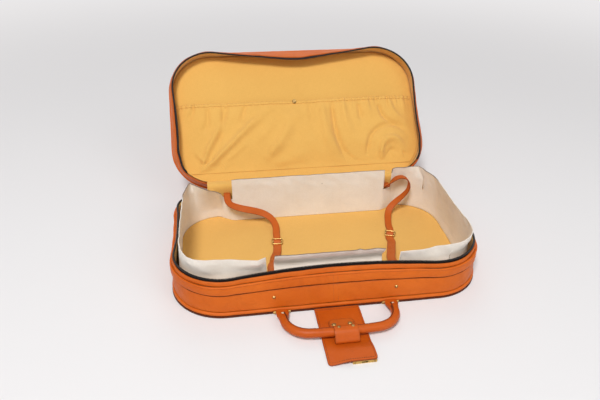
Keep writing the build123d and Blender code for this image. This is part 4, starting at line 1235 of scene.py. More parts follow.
# The pocket's folds, seen from the front of the lid: each one's width and height, negative for a valley, and
# the points that it passes, as X and the distance from the hinge line.
POCKET_FOLDS = (
    (8, 4.8, (-214, 42), (-165, 84), (-115, 131), (-64, 176)),
    (7.5, -3.4, (-196, 36), (-150, 66), (-100, 106), (-50, 150)),
    (9, 4.2, (-184, 40), (-129, 84), (-75, 126), (-34, 170)),
    (7, 3.2, (-216, 50), (-190, 108), (-150, 160)), (16, 2, (-60, 40), (-20, 62), (30, 74)),
    (13, 4, (-73, 66), (-33, 115), (-9, 176)), (6, -2.2, (-155, 190), (-160, 150)),
    (7, -4.2, (79, 180), (79, 133), (87, 85), (108, 49), (143, 31)),
    (11, 3.2, (56, 182), (58, 126), (67, 78), (86, 42)), (9, 2.6, (104, 186), (106, 140), (118, 100)),
    (6, -3, (140, 182), (142, 132)), (5.5, -3.2, (185, 180), (194, 146), (228, 122)),
    (6, 2.2, (212, 184), (222, 150), (242, 132)),
    (6.5, -3.4, (146, 62), (160, 102), (192, 124), (229, 121), (247, 96)),
    (8, 4.2, (178, 52), (183, 79), (205, 92), (223, 81), (226, 58)),
    (5, -3.2, (196, 40), (203, 66), (214, 62)), (4, -3, (191, 56), (192, 30)),
    (4, 1.8, (-209, 57), (-228, 86)), (3.5, -1.6, (-209, 57), (-186, 69)), (4, 2, (-222, 42), (-180, 47)),
    (4, -2, (228, 60), (238, 46)), (6.5, -2.6, (-164, 186), (-165, 148), (-174, 116), (-194, 74)),
    (6, -2.3, (-197, 187), (-199, 150), (-218, 118)), (6, -2.2, (-112, 187), (-121, 165), (-125, 138)),
    (5, -1.7, (-226, 187), (-240, 154)), (9, 1.4, (-4, 178), (-2, 140)), (7, -1.8, (28, 185), (33, 128)),
    (6, 2, (160, 186), (161, 150)))


@dataclass
class Pocket:
    """The lid's gathered pocket: cloth that stands off in folds, and an elastic hem."""

    run: float = 185
    corner: float = 79
    corner_v: float = 93.2
    foot: float = 36.5
    hem: float = 187
    hem_width: float = 7.5
    floor: float = 32.6
    swell: float = 11
    gap: float = 7.5
    depth: float = 1.8
    snap: Pair = (-4.8, 190.7)
    snap_stand: float = 6.2
    snap_v: float = 190.75
    snap_level: float = 24
    middle_shares: Numbers = (0.0, 0.45, 0.6, 0.7, 0.75, 0.8, 0.95, 1.0, 0.8, 0.0)
    middle_places: Numbers = (0.0, 0.09, 0.18, 0.3, 0.43, 0.55, 0.66, 0.78, 0.9, 1.0)

    def fold(self, x: Array, v: Array, width: float, height: float, *line: Pair) -> Array:
        """Raises a fold along a curve: height times a bell of the distance to it, tapered at both ends.

        Args:
            x: Across the lid.
            v: From the hinge line.
            width: The fold's width.
            height: How far it stands up; a valley is negative.
            line: Points that it passes, to where it fades.

        Returns:
            The height at each place.
        """
        knots = np.array(line, float)
        straight = len(knots) == 2
        curve = resample(knots, np.linspace(0, path_length(knots), 40)) if straight else spline(knots, 40)
        away = (x[..., None] - curve[:, 0]) ** 2 + (v[..., None] - curve[:, 1]) ** 2
        along = away.argmin(-1) / 39
        spread = width * (0.7 + 0.6 * along)
        taper = smooth(along, 0, 0.12) * 0.5 + 0.5 - 0.75 * smooth(along, 0.6, 1)
        return height * taper * np.exp(-away.min(-1) / spread**2)

    def edge_at(self, v: Array) -> Array:
        """Half the pocket's width, which follows the lid's round corners: run + √(r² − (centre − v)²)."""
        below = np.clip(self.corner_v - v, 0, self.corner - 1)
        return self.run + np.sqrt(self.corner**2 - below**2)

    def stand(self, x: Array, v: Array) -> Array:
        """How far the cloth stands off the ceiling.

        A broad swell grows from the foot and settles at the hem. On it lie the table's folds, upright tucks
        under the hem and a fine unevenness; all sink to nothing at the sewn sides.

        Args:
            x: Across the lid.
            v: From the hinge line.

        Returns:
            The distance from the ceiling.
        """
        rise = np.clip((v - self.foot) / (self.hem - self.foot), 0, 1.2)
        half = self.edge_at(v)
        place = (x + half) / (2 * half)
        middle = np.interp(place, self.middle_places, self.middle_shares)
        side = smooth(half - np.abs(x), 0, 24)
        broad = self.swell * middle * smooth(rise, 0, 0.42) * (1 - 0.5 * smooth(rise, 0.5, 1))
        broad += self.gap * side * smooth(rise, 0.45, 1) * 0.62
        folds = self.depth * sum(self.fold(x, v, *row) for row in POCKET_FOLDS)
        gathered = 0.12 + 0.75 * smooth(x, 60, 150) + 0.5 * smooth(-x, 190, 235)
        tucks = 0.9 * np.sin(x / 2.6 + 2.6 * np.sin(x / 31)) + 0.6 * np.sin(x / 1.5 + 1.9 * np.sin(x / 17))
        tucks *= gathered * (0.75 * smooth(rise, 0.86, 1) + 0.25 * smooth(rise, 0.6, 1))
        soft = 0.5 * ripple(places(x, v, 0), 44, 81)
        total = broad + (folds + tucks + soft) * side
        dip = hill(x, self.snap[0], 22) * hill(v, self.snap[1], 26)
        total = total * (1 - dip) + self.snap_stand * dip
        return 0.5 + np.maximum(total, 0) * np.minimum(1, smooth(rise, 0, 0.12) + 0.04)

    def build(self) -> None:
        """Builds the pocket's cloth, its hem, the ring of its snap and the hem's seams."""
        v = np.linspace(self.foot, self.hem + 1, 84)[None]
        x = np.linspace(-1, 1, 320)[:, None] * self.edge_at(v)
        v = np.broadcast_to(v, x.shape)
        sag = -1.6 * (1 - (x / self.edge_at(v)) ** 2) * smooth(v, self.foot + 60, self.hem)
        points = lid_place(x, v + sag, self.floor - self.stand(x, v))
        cloth = grid(points)
        cloth.faces = [faces[:, ::-1] for faces in cloth.faces]
        cloth.corners = [corners[:, ::-1] for corners in cloth.corners]
        pocket = Piece("pocket_cloth", cloth, Finish.TWILL, Body.LID, "lid_pocket",
                       closed=False, thickness=0.9, offset=0).make()

        section = slab_profile(self.hem_width, 2.3, 1.1, 0.35)[0]
        half = self.run + self.corner
        across = np.linspace(-half, half, 500)
        sag = -1.6 * (1 - (across / half) ** 2)
        middle = self.hem + self.hem_width / 2 + sag
        stand = self.stand(across, np.full_like(across, self.hem)) + 0.2
        gathered = 0.35 + 0.65 * smooth(across, 40, 150) + 0.5 * smooth(-across, 190, 235)
        ruck = 0.5 * gathered * np.sin(across / 1.5 + 1.9 * np.sin(across / 17))
        share = smooth(half - np.abs(across), 0, 12)
        x = across[:, None]
        v = middle[:, None] + section[:, 0] + 0.3 * np.sin(x / 1.9 + 1.4 * np.sin(x / 17))
        off = (stand + ruck * share)[:, None] + section[:, 1] * (1 + 0.12 * np.sin(x / 1.5))
        hem = lid_place(x, v, self.floor - np.maximum(off, -0.3))
        band = Piece("pocket_hem_band", grid(hem, (False, True), capped=True), Finish.TWILL, Body.LID,
                     "pocket_hem").make()

        # Half of the section of a pressed ring: distance from the snap's axis and height.
        section = np.array([[3.5, 0], [3.5, 1.9], [3.9, 2.4], [4.4, 2.2], [4.75, 1.2], [4.8, 0]])
        turn = circle(32)[:, None]
        x, v = (section[:, 0] * way(turn) for way in (np.cos, np.sin))
        ring = lid_place(self.snap[0] + x, self.snap_v + v, self.snap_level - section[:, 1])
        Piece("pocket_snap_ring", grid(ring, (True, True)), Finish.OLD_BRASS, Body.LID).make()

        level = self.floor - stand - ruck * share - 1.35
        rows = [stitches(lid_place(across, low + sag, level), -OUT, 3, 2, 0.2)
                for low in (self.hem + 0.9, self.hem + self.hem_width - 0.9)]
        sewn = Piece("hem_stitches", merged(rows), Finish.TAN_THREAD, Body.LID).make()
        anchor = lid_place(0, 100, self.floor) * MM
        for soft in (pocket, band, sewn):
            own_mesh(soft)


@dataclass
class FloorPad:
    """The padded yellow floor: a thin closed pad with a rolled edge."""

    inset: float = 6
    low: float = 4.05
    high: float = 6.15
    outline: Outline = Outline()

    def build(self) -> None:
        """Builds the pad from rings that shrink towards its middle, with a faint unevenness on its top."""
        edge = np.array([[0, 4.9], [0.15, 5.5], [0.8, 6], [2.2, self.high]])
        rim = lifted(self.outline.loop(edge[:, 0] + self.inset, np.zeros(4)), edge[:, 1:])
        shrink = np.concatenate([np.linspace(0.985, 0.9, 8), np.linspace(0.88, 0.03, 34)])[:, None]
        over = lifted(rim[-1] * shrink[..., None], self.high)
        over[..., 2] += 0.12 * ripple(over, 48, 91) * smooth((1 - shrink) * 150, 0, 12)
        points = np.concatenate([lifted(over[::-1], self.low), lifted(rim[:1], self.low), rim, over])
        shape = poled(points, UP * self.low, UP * self.high)
        shape.map_flat()
        made = Piece("floor_pad", shape, Finish.TWILL, Body.BASE, "base_floor").make()


@dataclass
class InnerWalls:
    """The cream walls round the floor, higher at the two ends, and the flaps that fold over the middle, built
    standing and fixed in place.
    """

    corner: float = 78
    run_x: float = 185
    back_run_y: float = 67.5
    front_run_y: float = -58.5
    back_half: float = 158
    back_y: float = 127
    front_half: float = 92
    front_y: float = -124
    fold: float = 56
    low: float = 6.2
    top: float = 103
    thickness: float = 1.5

    def path(self) -> Array:
        """Draws the walls' outer line anticlockwise from the middle of the back, with soft bends.

        Returns:
            The closed line at even steps, (n, 2).
        """
        quarter = np.linspace(0, np.pi / 2, 24)
        across, along = self.corner * np.sin(quarter), self.corner * np.cos(quarter)
        back = places(-self.run_x - across, self.back_run_y + along)
        front = places(-self.run_x - along, self.front_run_y - across)
        left = np.concatenate([[[0, self.back_y], [-self.back_half, self.back_y]], back, front,
                               [[-self.front_half, self.front_y], [0, self.front_y]]])
        line = np.concatenate([left, left[-2::-1] * (-1, 1)])
        even = resample(line, np.linspace(0, path_length(line), 560, endpoint=False))
        wrapped = np.concatenate([even[-2:], even, even[:2]])
        return np.stack([np.convolve(column, np.ones(5) / 5, "valid") for column in wrapped.T], 1)

    def tops(self, line: Array) -> Array:
        """Gives the walls' height along their line: low where the flaps fold, high at the ends."""
        x, reach = line[:, 0], np.abs(line[:, 0])
        slope = 74 + 29 * np.clip((reach - 178) / 67, 0, 1)
        back = np.where(reach < 178, self.fold, np.where(x < 0, slope, self.top))
        front = np.where(x < 0, np.interp(reach, (116, 205), (98.5, self.top)),
                         np.interp(reach, (116, 158, 207, 245), (88, 90, 95.5, self.top)))
        front = np.where(reach < 116, self.fold, front)
        return np.where(line[:, 1] > 0, back, front)

    def top_line(self, line: Array) -> Array:
        """Gives where the free edge hangs: the tables, read by the running length of the foot line.

        Args:
            line: The foot line, (n, 2).

        Returns:
            The edge's places, (n, 2).
        """
        edge = line.copy()
        run = np.arange(len(line), dtype=float)
        for table in (LEFT_EDGE, RIGHT_EDGE):
            rows = np.array(table)
            away = ((line[:, None] - rows[None, :, :2]) ** 2).sum(-1)
            place = away.argmin(0).astype(float)
            order = np.argsort(place)
            place, rows = place[order], rows[order]
            shift = rows[:, 2:] - line[place.astype(int)]
            inside = (run >= place[0]) & (run <= place[-1])
            for k in (0, 1):
                moved = np.interp(run, place, shift[:, k])
                edge[inside, k] += moved[inside]
        return edge

    def build_walls(self) -> None:
        """Builds the walls as one sheet: the line carried upward, leaning at the ends, with dents."""
        line = self.path()
        top = self.tops(line)
        share = np.concatenate([np.linspace(0, 0.97, 36), [0.99, 0.998, 1]])[None]
        level = self.low + (top[:, None] - self.low) * share
        out = rightward(unit(np.roll(line, -1, 0) - np.roll(line, 1, 0)))
        x, y = line[:, :1], line[:, 1:]
        flat = places(x, y, level)
        high = np.clip((level - self.fold) / (self.top - self.fold), 0, 1)
        tall = smooth(top[:, None], self.fold + 1, self.fold + 14)
        hang = (self.top_line(line) - line)[:, None]
        front = smooth(-y, 75, 125)
        gentle = np.clip((level - 24) / (self.top - 24), 0, 1) ** 1.35
        late = smooth(level, 72, 93) * front + smooth(level, 76, 101) * (1 - front)
        outside = (hang * out[:, None, :2]).sum(-1) > 0
        lean = hang * np.where(outside, late, gentle)[..., None]
        sway = (0.25 + 0.9 * high) * ripple(flat * (1, 1, 0.35), 66, 101) + 0.4 * high * ripple(flat, 22, 103)
        dent = -4.0 * hill(np.abs(x) + 1.1 * (level - 78), 190, 24) * front * smooth(level, 40, 72)
        offset = (sway + dent) * np.maximum(tall, 0.12 * smooth(level, 6, 30))
        points = flat + out[:, None] * offset[..., None]
        points[..., :2] += lean * tall[..., None]
        near = smooth(share, 0.99, 1) * smooth(y, 40, 90) * tall
        made = Piece("cream_walls", grid(points, (True, False), near), Finish.CREAM, Body.BASE,
                     "inner_wall_band left_wrap right_wrap", closed=False, thickness=self.thickness).make()
        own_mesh(made)

    def flap(self, node: str, body: Body, reach: Pair, y: float, high: float,
             side: int, curl: Pair, seed: int) -> None:
        """Builds a flap that stands on the walls' fold: a sheet that waves and curls at its free edge.

        Args:
            node: The node it stands for.
            body: The body it is given; as the flap has a blend, it is set on no body.
            reach: X of its left and right ends.
            y: Where its outer face stands.
            high: The level of its free edge.
            side: 1 at the back, −1 at the front.
            curl: How far the free edge curls outward at its ends.
            seed: Picks its waves.
        """
        across = np.linspace(*reach[::-side], 110)[:, None]
        half = (reach[1] - reach[0]) / 2
        away = np.abs(across - sum(reach) / 2)
        rise = np.concatenate([[0, 0.003], np.linspace(0.03, 0.97, 34), [0.985, 0.997, 1]])[None]
        low = self.fold - 0.9
        level = low + (high - low) * rise
        points = places(across, y, level)
        wave = 0.9 * ripple(points * (1, 1, 0.2), 70, seed) + 0.3 * ripple(points, 20, seed + 1)
        wave *= smooth(rise, 0.05 if side > 0 else 0.42, 0.8)
        if side < 0:
            wave -= 6.4 * hill(level, 73, 12) * smooth(level, 56, 65)
            wave -= 3 * hill(across, 42, 4.5) * smooth(rise, 0.55, 1) + 1.5 * hill(across, 70, 9) * rise
        bend = np.interp(across, reach, curl) * smooth(rise, 0.3, 1.1) ** 1.3
        trim = -0.9 * smooth(rise, 0.9, 1) * hill(away, half, 5)
        points[..., 1] += side * (wave + bend - 0.06)
        points[..., 2] += trim - 0.25 * np.abs(bend)
        near = smooth(rise, 0.985, 1)
        bend = (body, (0, y, self.fold + 0.1), (0, y, self.fold + 5))
        made = Piece("cream_" + node, grid(points, edge=near), Finish.CREAM, body, node, closed=False,
                     thickness=self.thickness, blend=bend).make()

    def build(self) -> None:
        """Builds the walls and both flaps."""
        self.build_walls()
        self.flap("back_flap", Body.BACK_FLAP, (-self.back_half, self.back_half), self.back_y, self.top,
                  1, (0.4, 1.2), 111)
        self.flap("front_flap", Body.FRONT_FLAP, (-102, 86), self.front_y, self.top - 1, -1, (9, 12), 121)


# Where the free edge of the two ends hangs: foot X and Y, then edge X and Y, from the back to the front.
LEFT_EDGE = (
    (-178, 144, -183, 107), (-205, 143, -206, 112), (-225, 134, -226, 122), (-238, 125, -240.8, 129.4),
    (-241, 122, -242.6, 125), (-249, 112, -246.5, 109), (-258, 95, -251.5, 90), (-263, 66, -254, 66),
    (-263, 19, -256, 19), (-263, -19, -257, -19), (-263, -58, -257, -58), (-258, -86, -256.5, -86),
    (-240, -113.6, -250, -111), (-215, -130, -232, -129.5), (-185, -136.5, -195, -137),
    (-150, -131, -155, -139), (-128, -128.5, -130, -140), (-116, -127, -117, -132))
RIGHT_EDGE = (
    (178, 144, 174, 132), (205, 143, 201, 133.5), (225, 134, 222, 134.5), (238, 125, 233.5, 134.6),
    (241, 122, 236.5, 130), (249, 112, 242, 114), (258, 95, 248.5, 96), (263, 66, 251, 66),
    (263, 19, 252, 16), (263, -19, 253, -22), (263, -58, 254, -60), (258, -86, 256, -90),
    (249, -105, 253, -109), (240, -113.6, 247, -117), (215, -130, 226, -129), (185, -136.5, 190, -134),
    (150, -131, 152, -135), (128, -128.5, 126, -133.5), (116, -127, 113, -134))


# Straps


@dataclass(frozen=True)
class StrapRoute:
    """Where a pair of straps runs, from the back notch to the buckle and on to the front notch. A row has a
    share of the swing along X, shares of the way along Y and Z to the buckle, and the way that the strap's
    width lies."""

    name: str
    side: int
    buckle: Pair
    turn: float
    back: tuple[Numbers, ...]
    front: tuple[Numbers, ...]


LEFT_ROUTE = StrapRoute("left", -1, (-78, 35), 5, (
    (0, 0, 0, 1, 0, 0), (0, 0.205, 0.006, 1, 0, 0), (0.02, 0.275, 0.077, 0.9, 0.4, 0),
    (0.09, 0.328, 0.149, 0.6, 0.7, 0.3), (0.22, 0.359, 0.232, 0.3, 0.75, 0.55),
    (0.44, 0.376, 0.348, 0.1, 0.75, 0.65), (0.67, 0.38, 0.503, 0.1, 0.75, 0.65),
    (0.82, 0.438, 0.638, 0.5, 0.75, 0.45), (0.9, 0.534, 0.754, 0.85, 0.5, 0.2),
    (0.925, 0.649, 0.861, 1, 0.1, 0), (0.915, 0.763, 0.938, 1, 0, 0)), (
    (0.247, 0.828, 0.986, 1, -0.1, 0), (0.19, 0.685, 0.851, 1, -0.2, 0),
    (0.1, 0.512, 0.561, 0.5, -0.3, 0.8), (0.04, 0.286, 0.251, 0.9, -0.1, 0.3), (0.01, 0.089, 0.01, 1, 0, 0),
    (0, 0, 0, 1, 0, 0)))
RIGHT_ROUTE = StrapRoute("right", 1, (150, 33), 20, (
    (0, 0, 0, 1, 0, 0), (-0.02, 0.154, -0.019, 1, 0.1, 0), (0, 0.197, -0.155, 0.8, 0.6, 0),
    (0.07, 0.206, -0.329, 0.3, 0.95, 0), (0.16, 0.206, -0.464, 0, 1, 0), (0.26, 0.214, -0.513, 0, 1, 0),
    (0.35, 0.223, -0.464, 0, 1, 0), (0.41, 0.244, -0.329, 0, 1, 0), (0.425, 0.266, -0.155, 0, 1, 0),
    (0.4, 0.283, 0.019, 0, 1, 0), (0.33, 0.296, 0.193, 0, 1, 0.1), (0.22, 0.313, 0.377, -0.2, 0.95, 0.2),
    (0.1, 0.335, 0.561, -0.5, 0.8, 0.2), (0, 0.387, 0.735, -0.75, 0.6, 0.1),
    (-0.06, 0.499, 0.88, -0.95, 0.3, 0), (-0.095, 0.629, 0.957, -1, 0.2, 0),
    (-0.125, 0.767, 0.986, -1, 0.3, 0)), (
    (0.4, 0.862, 0.986, 1, -0.3, 0), (0.37, 0.79, 0.919, 1, -0.3, 0), (0.25, 0.579, 0.658, 0.95, -0.3, 0),
    (0.1, 0.319, 0.309, 0.95, -0.3, 0), (0.005, 0.09, 0.01, 1, -0.05, 0), (0, 0, 0, 1, 0, 0)))


@dataclass
class Straps:
    """The four strap halves and the two slide buckles that join them."""

    routes: tuple[StrapRoute, ...] = (LEFT_ROUTE, RIGHT_ROUTE)
    thickness: float = 2
    back_width: float = 14
    front_width: float = 16
    swing: float = 100
    over: float = 59
    tail_low: float = 20
    lie: float = 7.3
    bar_level: float = 8.4
    bar: float = 2.2
    buckle_width: float = 22
    buckle_length: float = 19
    lining: float = 5.4
    back_place: float = 168
    front_place: float = 106
    outline: Outline = Outline()

    def front_y(self, x: float, level: float) -> float:
        """Where a strap hangs on the front wall's lining."""
        share = max(0, (level - WALL_LOW) / (BASE_HEIGHT - WALL_LOW))
        loop = self.outline.loop([self.lining], [share])[0]
        front = loop[loop[:, 1] < 0]
        order = np.argsort(front[:, 0])
        return float(np.interp(x, front[order, 0], front[order, 1])) + 1.3

    def spaced(self, rows: tuple, start: Numbers, end: Numbers) -> Array:
        """Turns a route's rows into stations between two places."""
        rows = np.array(rows)
        step = rows[:, :3] * (np.array(end) - start)
        step[:, 0] = rows[:, 0] * self.swing
        return np.concatenate([start + step, rows[:, 3:]], 1)

    def weave(self, route: StrapRoute, steps: list[Pair], flip: float) -> Array:
        """Gives the stations where a strap passes the buckle."""
        turn = math.radians(route.turn)
        ahead = np.array([-math.sin(turn), -math.cos(turn), 0])
        across = np.array([math.cos(turn), -math.sin(turn), 0]) * flip
        return np.array([[*(ahead * step + (*route.buckle, level)), *across] for step, level in steps])

    def build_pair(self, route: StrapRoute) -> None:
        """Builds a side's straps and buckle."""
        half = self.thickness / 2
        crest = self.bar_level + self.bar + 0.1 + half
        inside = self.buckle_length / 2 - self.bar - 0.3
        end = (*route.buckle, self.lie)
        place = route.side * self.back_place
        wall = self.outline.depth / 2 - self.lining - 0.3 - half
        flip = 1.0 if route.back[-1][3] > 0 else -1.0
        stations = np.concatenate([
            [[place, wall, self.tail_low, 1, 0, 0], [place, wall, self.over - 2, 1, 0, 0]],
            self.spaced(route.back, (place, wall - 2, self.over), end),
            self.weave(route, [(-self.buckle_length / 2 - self.bar, self.lie), (-inside, self.lie),
                               (-self.bar / 2 - 0.3, crest), (self.bar / 2 + 0.3, crest),
                               (inside - 0.9, self.lie)], flip)])
        self.strap(f"{route.name}_back", stations, self.back_width)
        place = route.side * self.front_place
        low_y, high_y = self.front_y(place, self.tail_low), self.front_y(place, self.over)
        stations = np.concatenate([
            self.weave(route, [(inside, self.lie), (self.buckle_length / 2 + self.bar, self.lie)], 1),
            self.spaced(route.front, (place, high_y + 2, self.over), end),
            [[place, high_y, self.over - 2, 1, 0, 0], [place, low_y, self.tail_low, 1, 0, 0]]])
        self.strap(f"{route.name}_front", stations, self.front_width)
        self.build_buckle(route)

    def strap(self, name: str, stations: Array, width: float) -> None:
        """Builds one strap along a smooth curve through its stations, sewn at both edges."""
        read = spline(stations, int(path_length(stations) / 1.6))
        strip = Ribbon(read[:, :3], unit(read[:, 3:]), width, self.thickness, 0.75, 0.08, (2.5, 2.5), 2, 1.1)
        Piece(f"{name}_leather", strip.shape(), Finish.STRAP_LEATHER, Body.BASE, f"{name}_strap").make()
        sewn = sewn_edges(strip, 2, self.thickness / 2 + 0.05, 2.9, 2, 0.2)
        Piece(f"{name}_stitches", sewn, Finish.TAN_THREAD, Body.BASE).make()

    def build_buckle(self, route: StrapRoute) -> None:
        """Builds a slide buckle: a bar bent to a frame, and a bar across its middle."""
        half_w, half_l = (self.buckle_width - self.bar) / 2, (self.buckle_length - self.bar) / 2
        radius = 2.4
        turns = np.arange(4)[:, None] * np.pi / 2
        angle = (np.linspace(0, np.pi / 2, 8) + turns).ravel()
        sign_x, sign_y = np.repeat([[1, -1, -1, 1], [1, 1, -1, -1]], 8, axis=1)
        ring = lifted(round_at(sign_x * (half_w - radius), sign_y * (half_l - radius), radius, angle))
        out = rightward(unit(np.roll(ring, -1, 0) - np.roll(ring, 1, 0)))
        section = slab_profile(self.bar, self.bar, 0.8)[0]
        rim = grid(ring[:, None] + out[:, None] * section[:, :1] + UP * section[:, 1:], (True, True))
        bar = Ribbon(np.stack([-half_w * X_AXIS, half_w * X_AXIS]), Y_AXIS, self.bar, self.bar, 1.05, 0)
        shape = merged([rim, bar.shape()])
        turn = math.radians(-route.turn)
        side = np.array([math.cos(turn), math.sin(turn), 0])
        rotation = np.stack([side, np.cross(UP, side), UP])
        shape.points = shape.points @ rotation + (*route.buckle, self.bar_level + self.bar / 2)
        Piece(f"{route.name}_slide_buckle", shape, Finish.BRASS, Body.BASE, f"{route.name}_buckle").make()

    def build(self) -> None:
        """Builds both sides."""
        for route in self.routes:
            self.build_pair(route)


# Handle and flap


@dataclass
class Handle:
    """The rolled handle with its inner seam, and the tabs that hold its rings."""

    spacing: float = 94
    pivot_z: float = 7.5
    reach: float = 66.5
    rise: float = 6.8
    corner: float = 42
    leg_end: float = -22.7
    grip: float = 7.4
    end_width: float = 22
    end_thickness: float = 8

    @property
    def frame(self) -> tuple[Array, Array, Array]:
        """The origin, the outward direction and the normal of the handle's plane."""
        pitch = math.atan2(self.rise, self.reach)
        return (np.array([0, PIVOT_Y, self.pivot_z]), np.array([0, math.cos(pitch), -math.sin(pitch)]),
                np.array([0, math.sin(pitch), math.cos(pitch)]))

    def flat_path(self) -> Array:
        """Draws the grip's line in its plane: leg, corner arc and one long arc, mirrored."""
        depth = -math.hypot(self.reach, self.rise)
        corner_x = self.spacing - self.corner
        rise = self.leg_end - depth
        arc = (corner_x**2 + rise**2 - self.corner**2) / (2 * (rise - self.corner))
        turn = math.atan2(corner_x, arc - rise)
        leg = places(-self.spacing, np.linspace(2.6, self.leg_end, 10, endpoint=False))
        angle = np.linspace(np.pi, 1.5 * np.pi - turn, 34, endpoint=False)
        bend = round_at(-corner_x, self.leg_end, self.corner, angle)
        angle = np.linspace(-turn, 0, 30)
        grip = places(arc * np.sin(angle), depth + arc - arc * np.cos(angle))
        left = np.concatenate([leg, bend, grip])
        return np.concatenate([left, left[-2::-1] * (-1, 1)])

    def build(self) -> None:
        """Builds the grip, a flat loop at the rings and a round roll between them, and its seam."""
        origin, outward, normal = self.frame
        flat = self.flat_path()
        path = origin + flat[:, :1] * X_AXIS + flat[:, 1:] * outward
        run = np.linspace(0, path_length(path), 260)
        read = resample(path, run)
        end = np.minimum(run, run[-1] - run)
        share = smooth(end, 7, 27)
        width = self.end_width + (2 * self.grip - self.end_width) * share
        thick = self.end_thickness + (2 * self.grip - self.end_thickness) * share
        along = unit(np.gradient(read, axis=0))
        side = unit(np.cross(normal, along))
        strip = Ribbon(read, side, width, thick, 3.9 + 4.1 * share, 0, (3.4, 3.4), 2.2, 0.01)
        shape = strip.shape()
        shape.points += 0.12 * ripple(shape.points, 19, 131)[:, None] * (0.3, 0.3, 1)
        shape.edge[:] = 0
        Piece("handle_leather", shape, Finish.FLAP_LEATHER, Body.HANDLE, "handle").make()

        middle = np.array([0, PIVOT_Y - 20, 0])
        toward = np.sign(((middle - read) * side).sum(-1))[:, None] * side
        keep = end > 9
        lines = []
        for share_in, share_up, lift in ((0.62, 0.78, -0.35), (0.36, 0.93, 0), (0.84, 0.54, 0)):
            radial = unit(toward * share_in + normal * share_up)
            reach = 1 / np.sqrt((share_in / (width / 2)) ** 2 + (share_up / (thick / 2)) ** 2)
            lines.append(((read + radial * (reach + lift)[:, None])[keep], radial[keep]))
        wide = 2.3 + 2.4 * (1 - smooth(end[keep], 14, 44))
        ridge = Ribbon(lines[0][0], np.cross(along[keep], lines[0][1]), wide, 1.6, 0.7, 0, (2, 2), 2.2, 0.9)
        Piece("handle_seam", ridge.shape(), Finish.EDGE, Body.HANDLE).make()
        sewn = merged([stitches(*line, 3.2, 2.3, 0.3) for line in lines[1:]])
        Piece("handle_stitches", sewn, Finish.TAN_THREAD, Body.HANDLE).make()
        self.build_tabs()

    def build_tabs(self) -> None:
        """Builds the leather loops that hold the rings."""
        for name, sign in (("left", -1), ("right", 1)):
            x = sign * self.spacing
            angle = np.linspace(np.pi / 2, -np.pi / 2, 14)
            bend = places(x, -160.6 - 1.35 * np.cos(angle), 1.75 + 1.2 * np.sin(angle))
            path = np.concatenate([[[x, -155, 2.9], [x, -158, 2.9]], bend,
                                   [[x, -158, 0.55], [x, -155, 0.55]]])
            strip = Ribbon(path, X_AXIS, 21, 0.75, 0.3, 0, (0, 0), 0.6, 0.6)
            Piece(f"{name}_ring_tab", strip.shape(), Finish.LEATHER, Body.BASE, f"{name}_handle_tab").make()


# The keeper's line, Y and level: from the patch under the handle, round its front, over it and down again.
KEEPER_LINE = (
    (-217.5, 3.9), (-231, 3.9), (-241, 4), (-246.4, 4.5), (-248.4, 7), (-246.6, 10.6), (-242.6, 15.8),
    (-237.9, 20.8), (-231, 22.9), (-225, 20.6), (-222.4, 14.8), (-222.8, 9.6), (-224.6, 6.9))


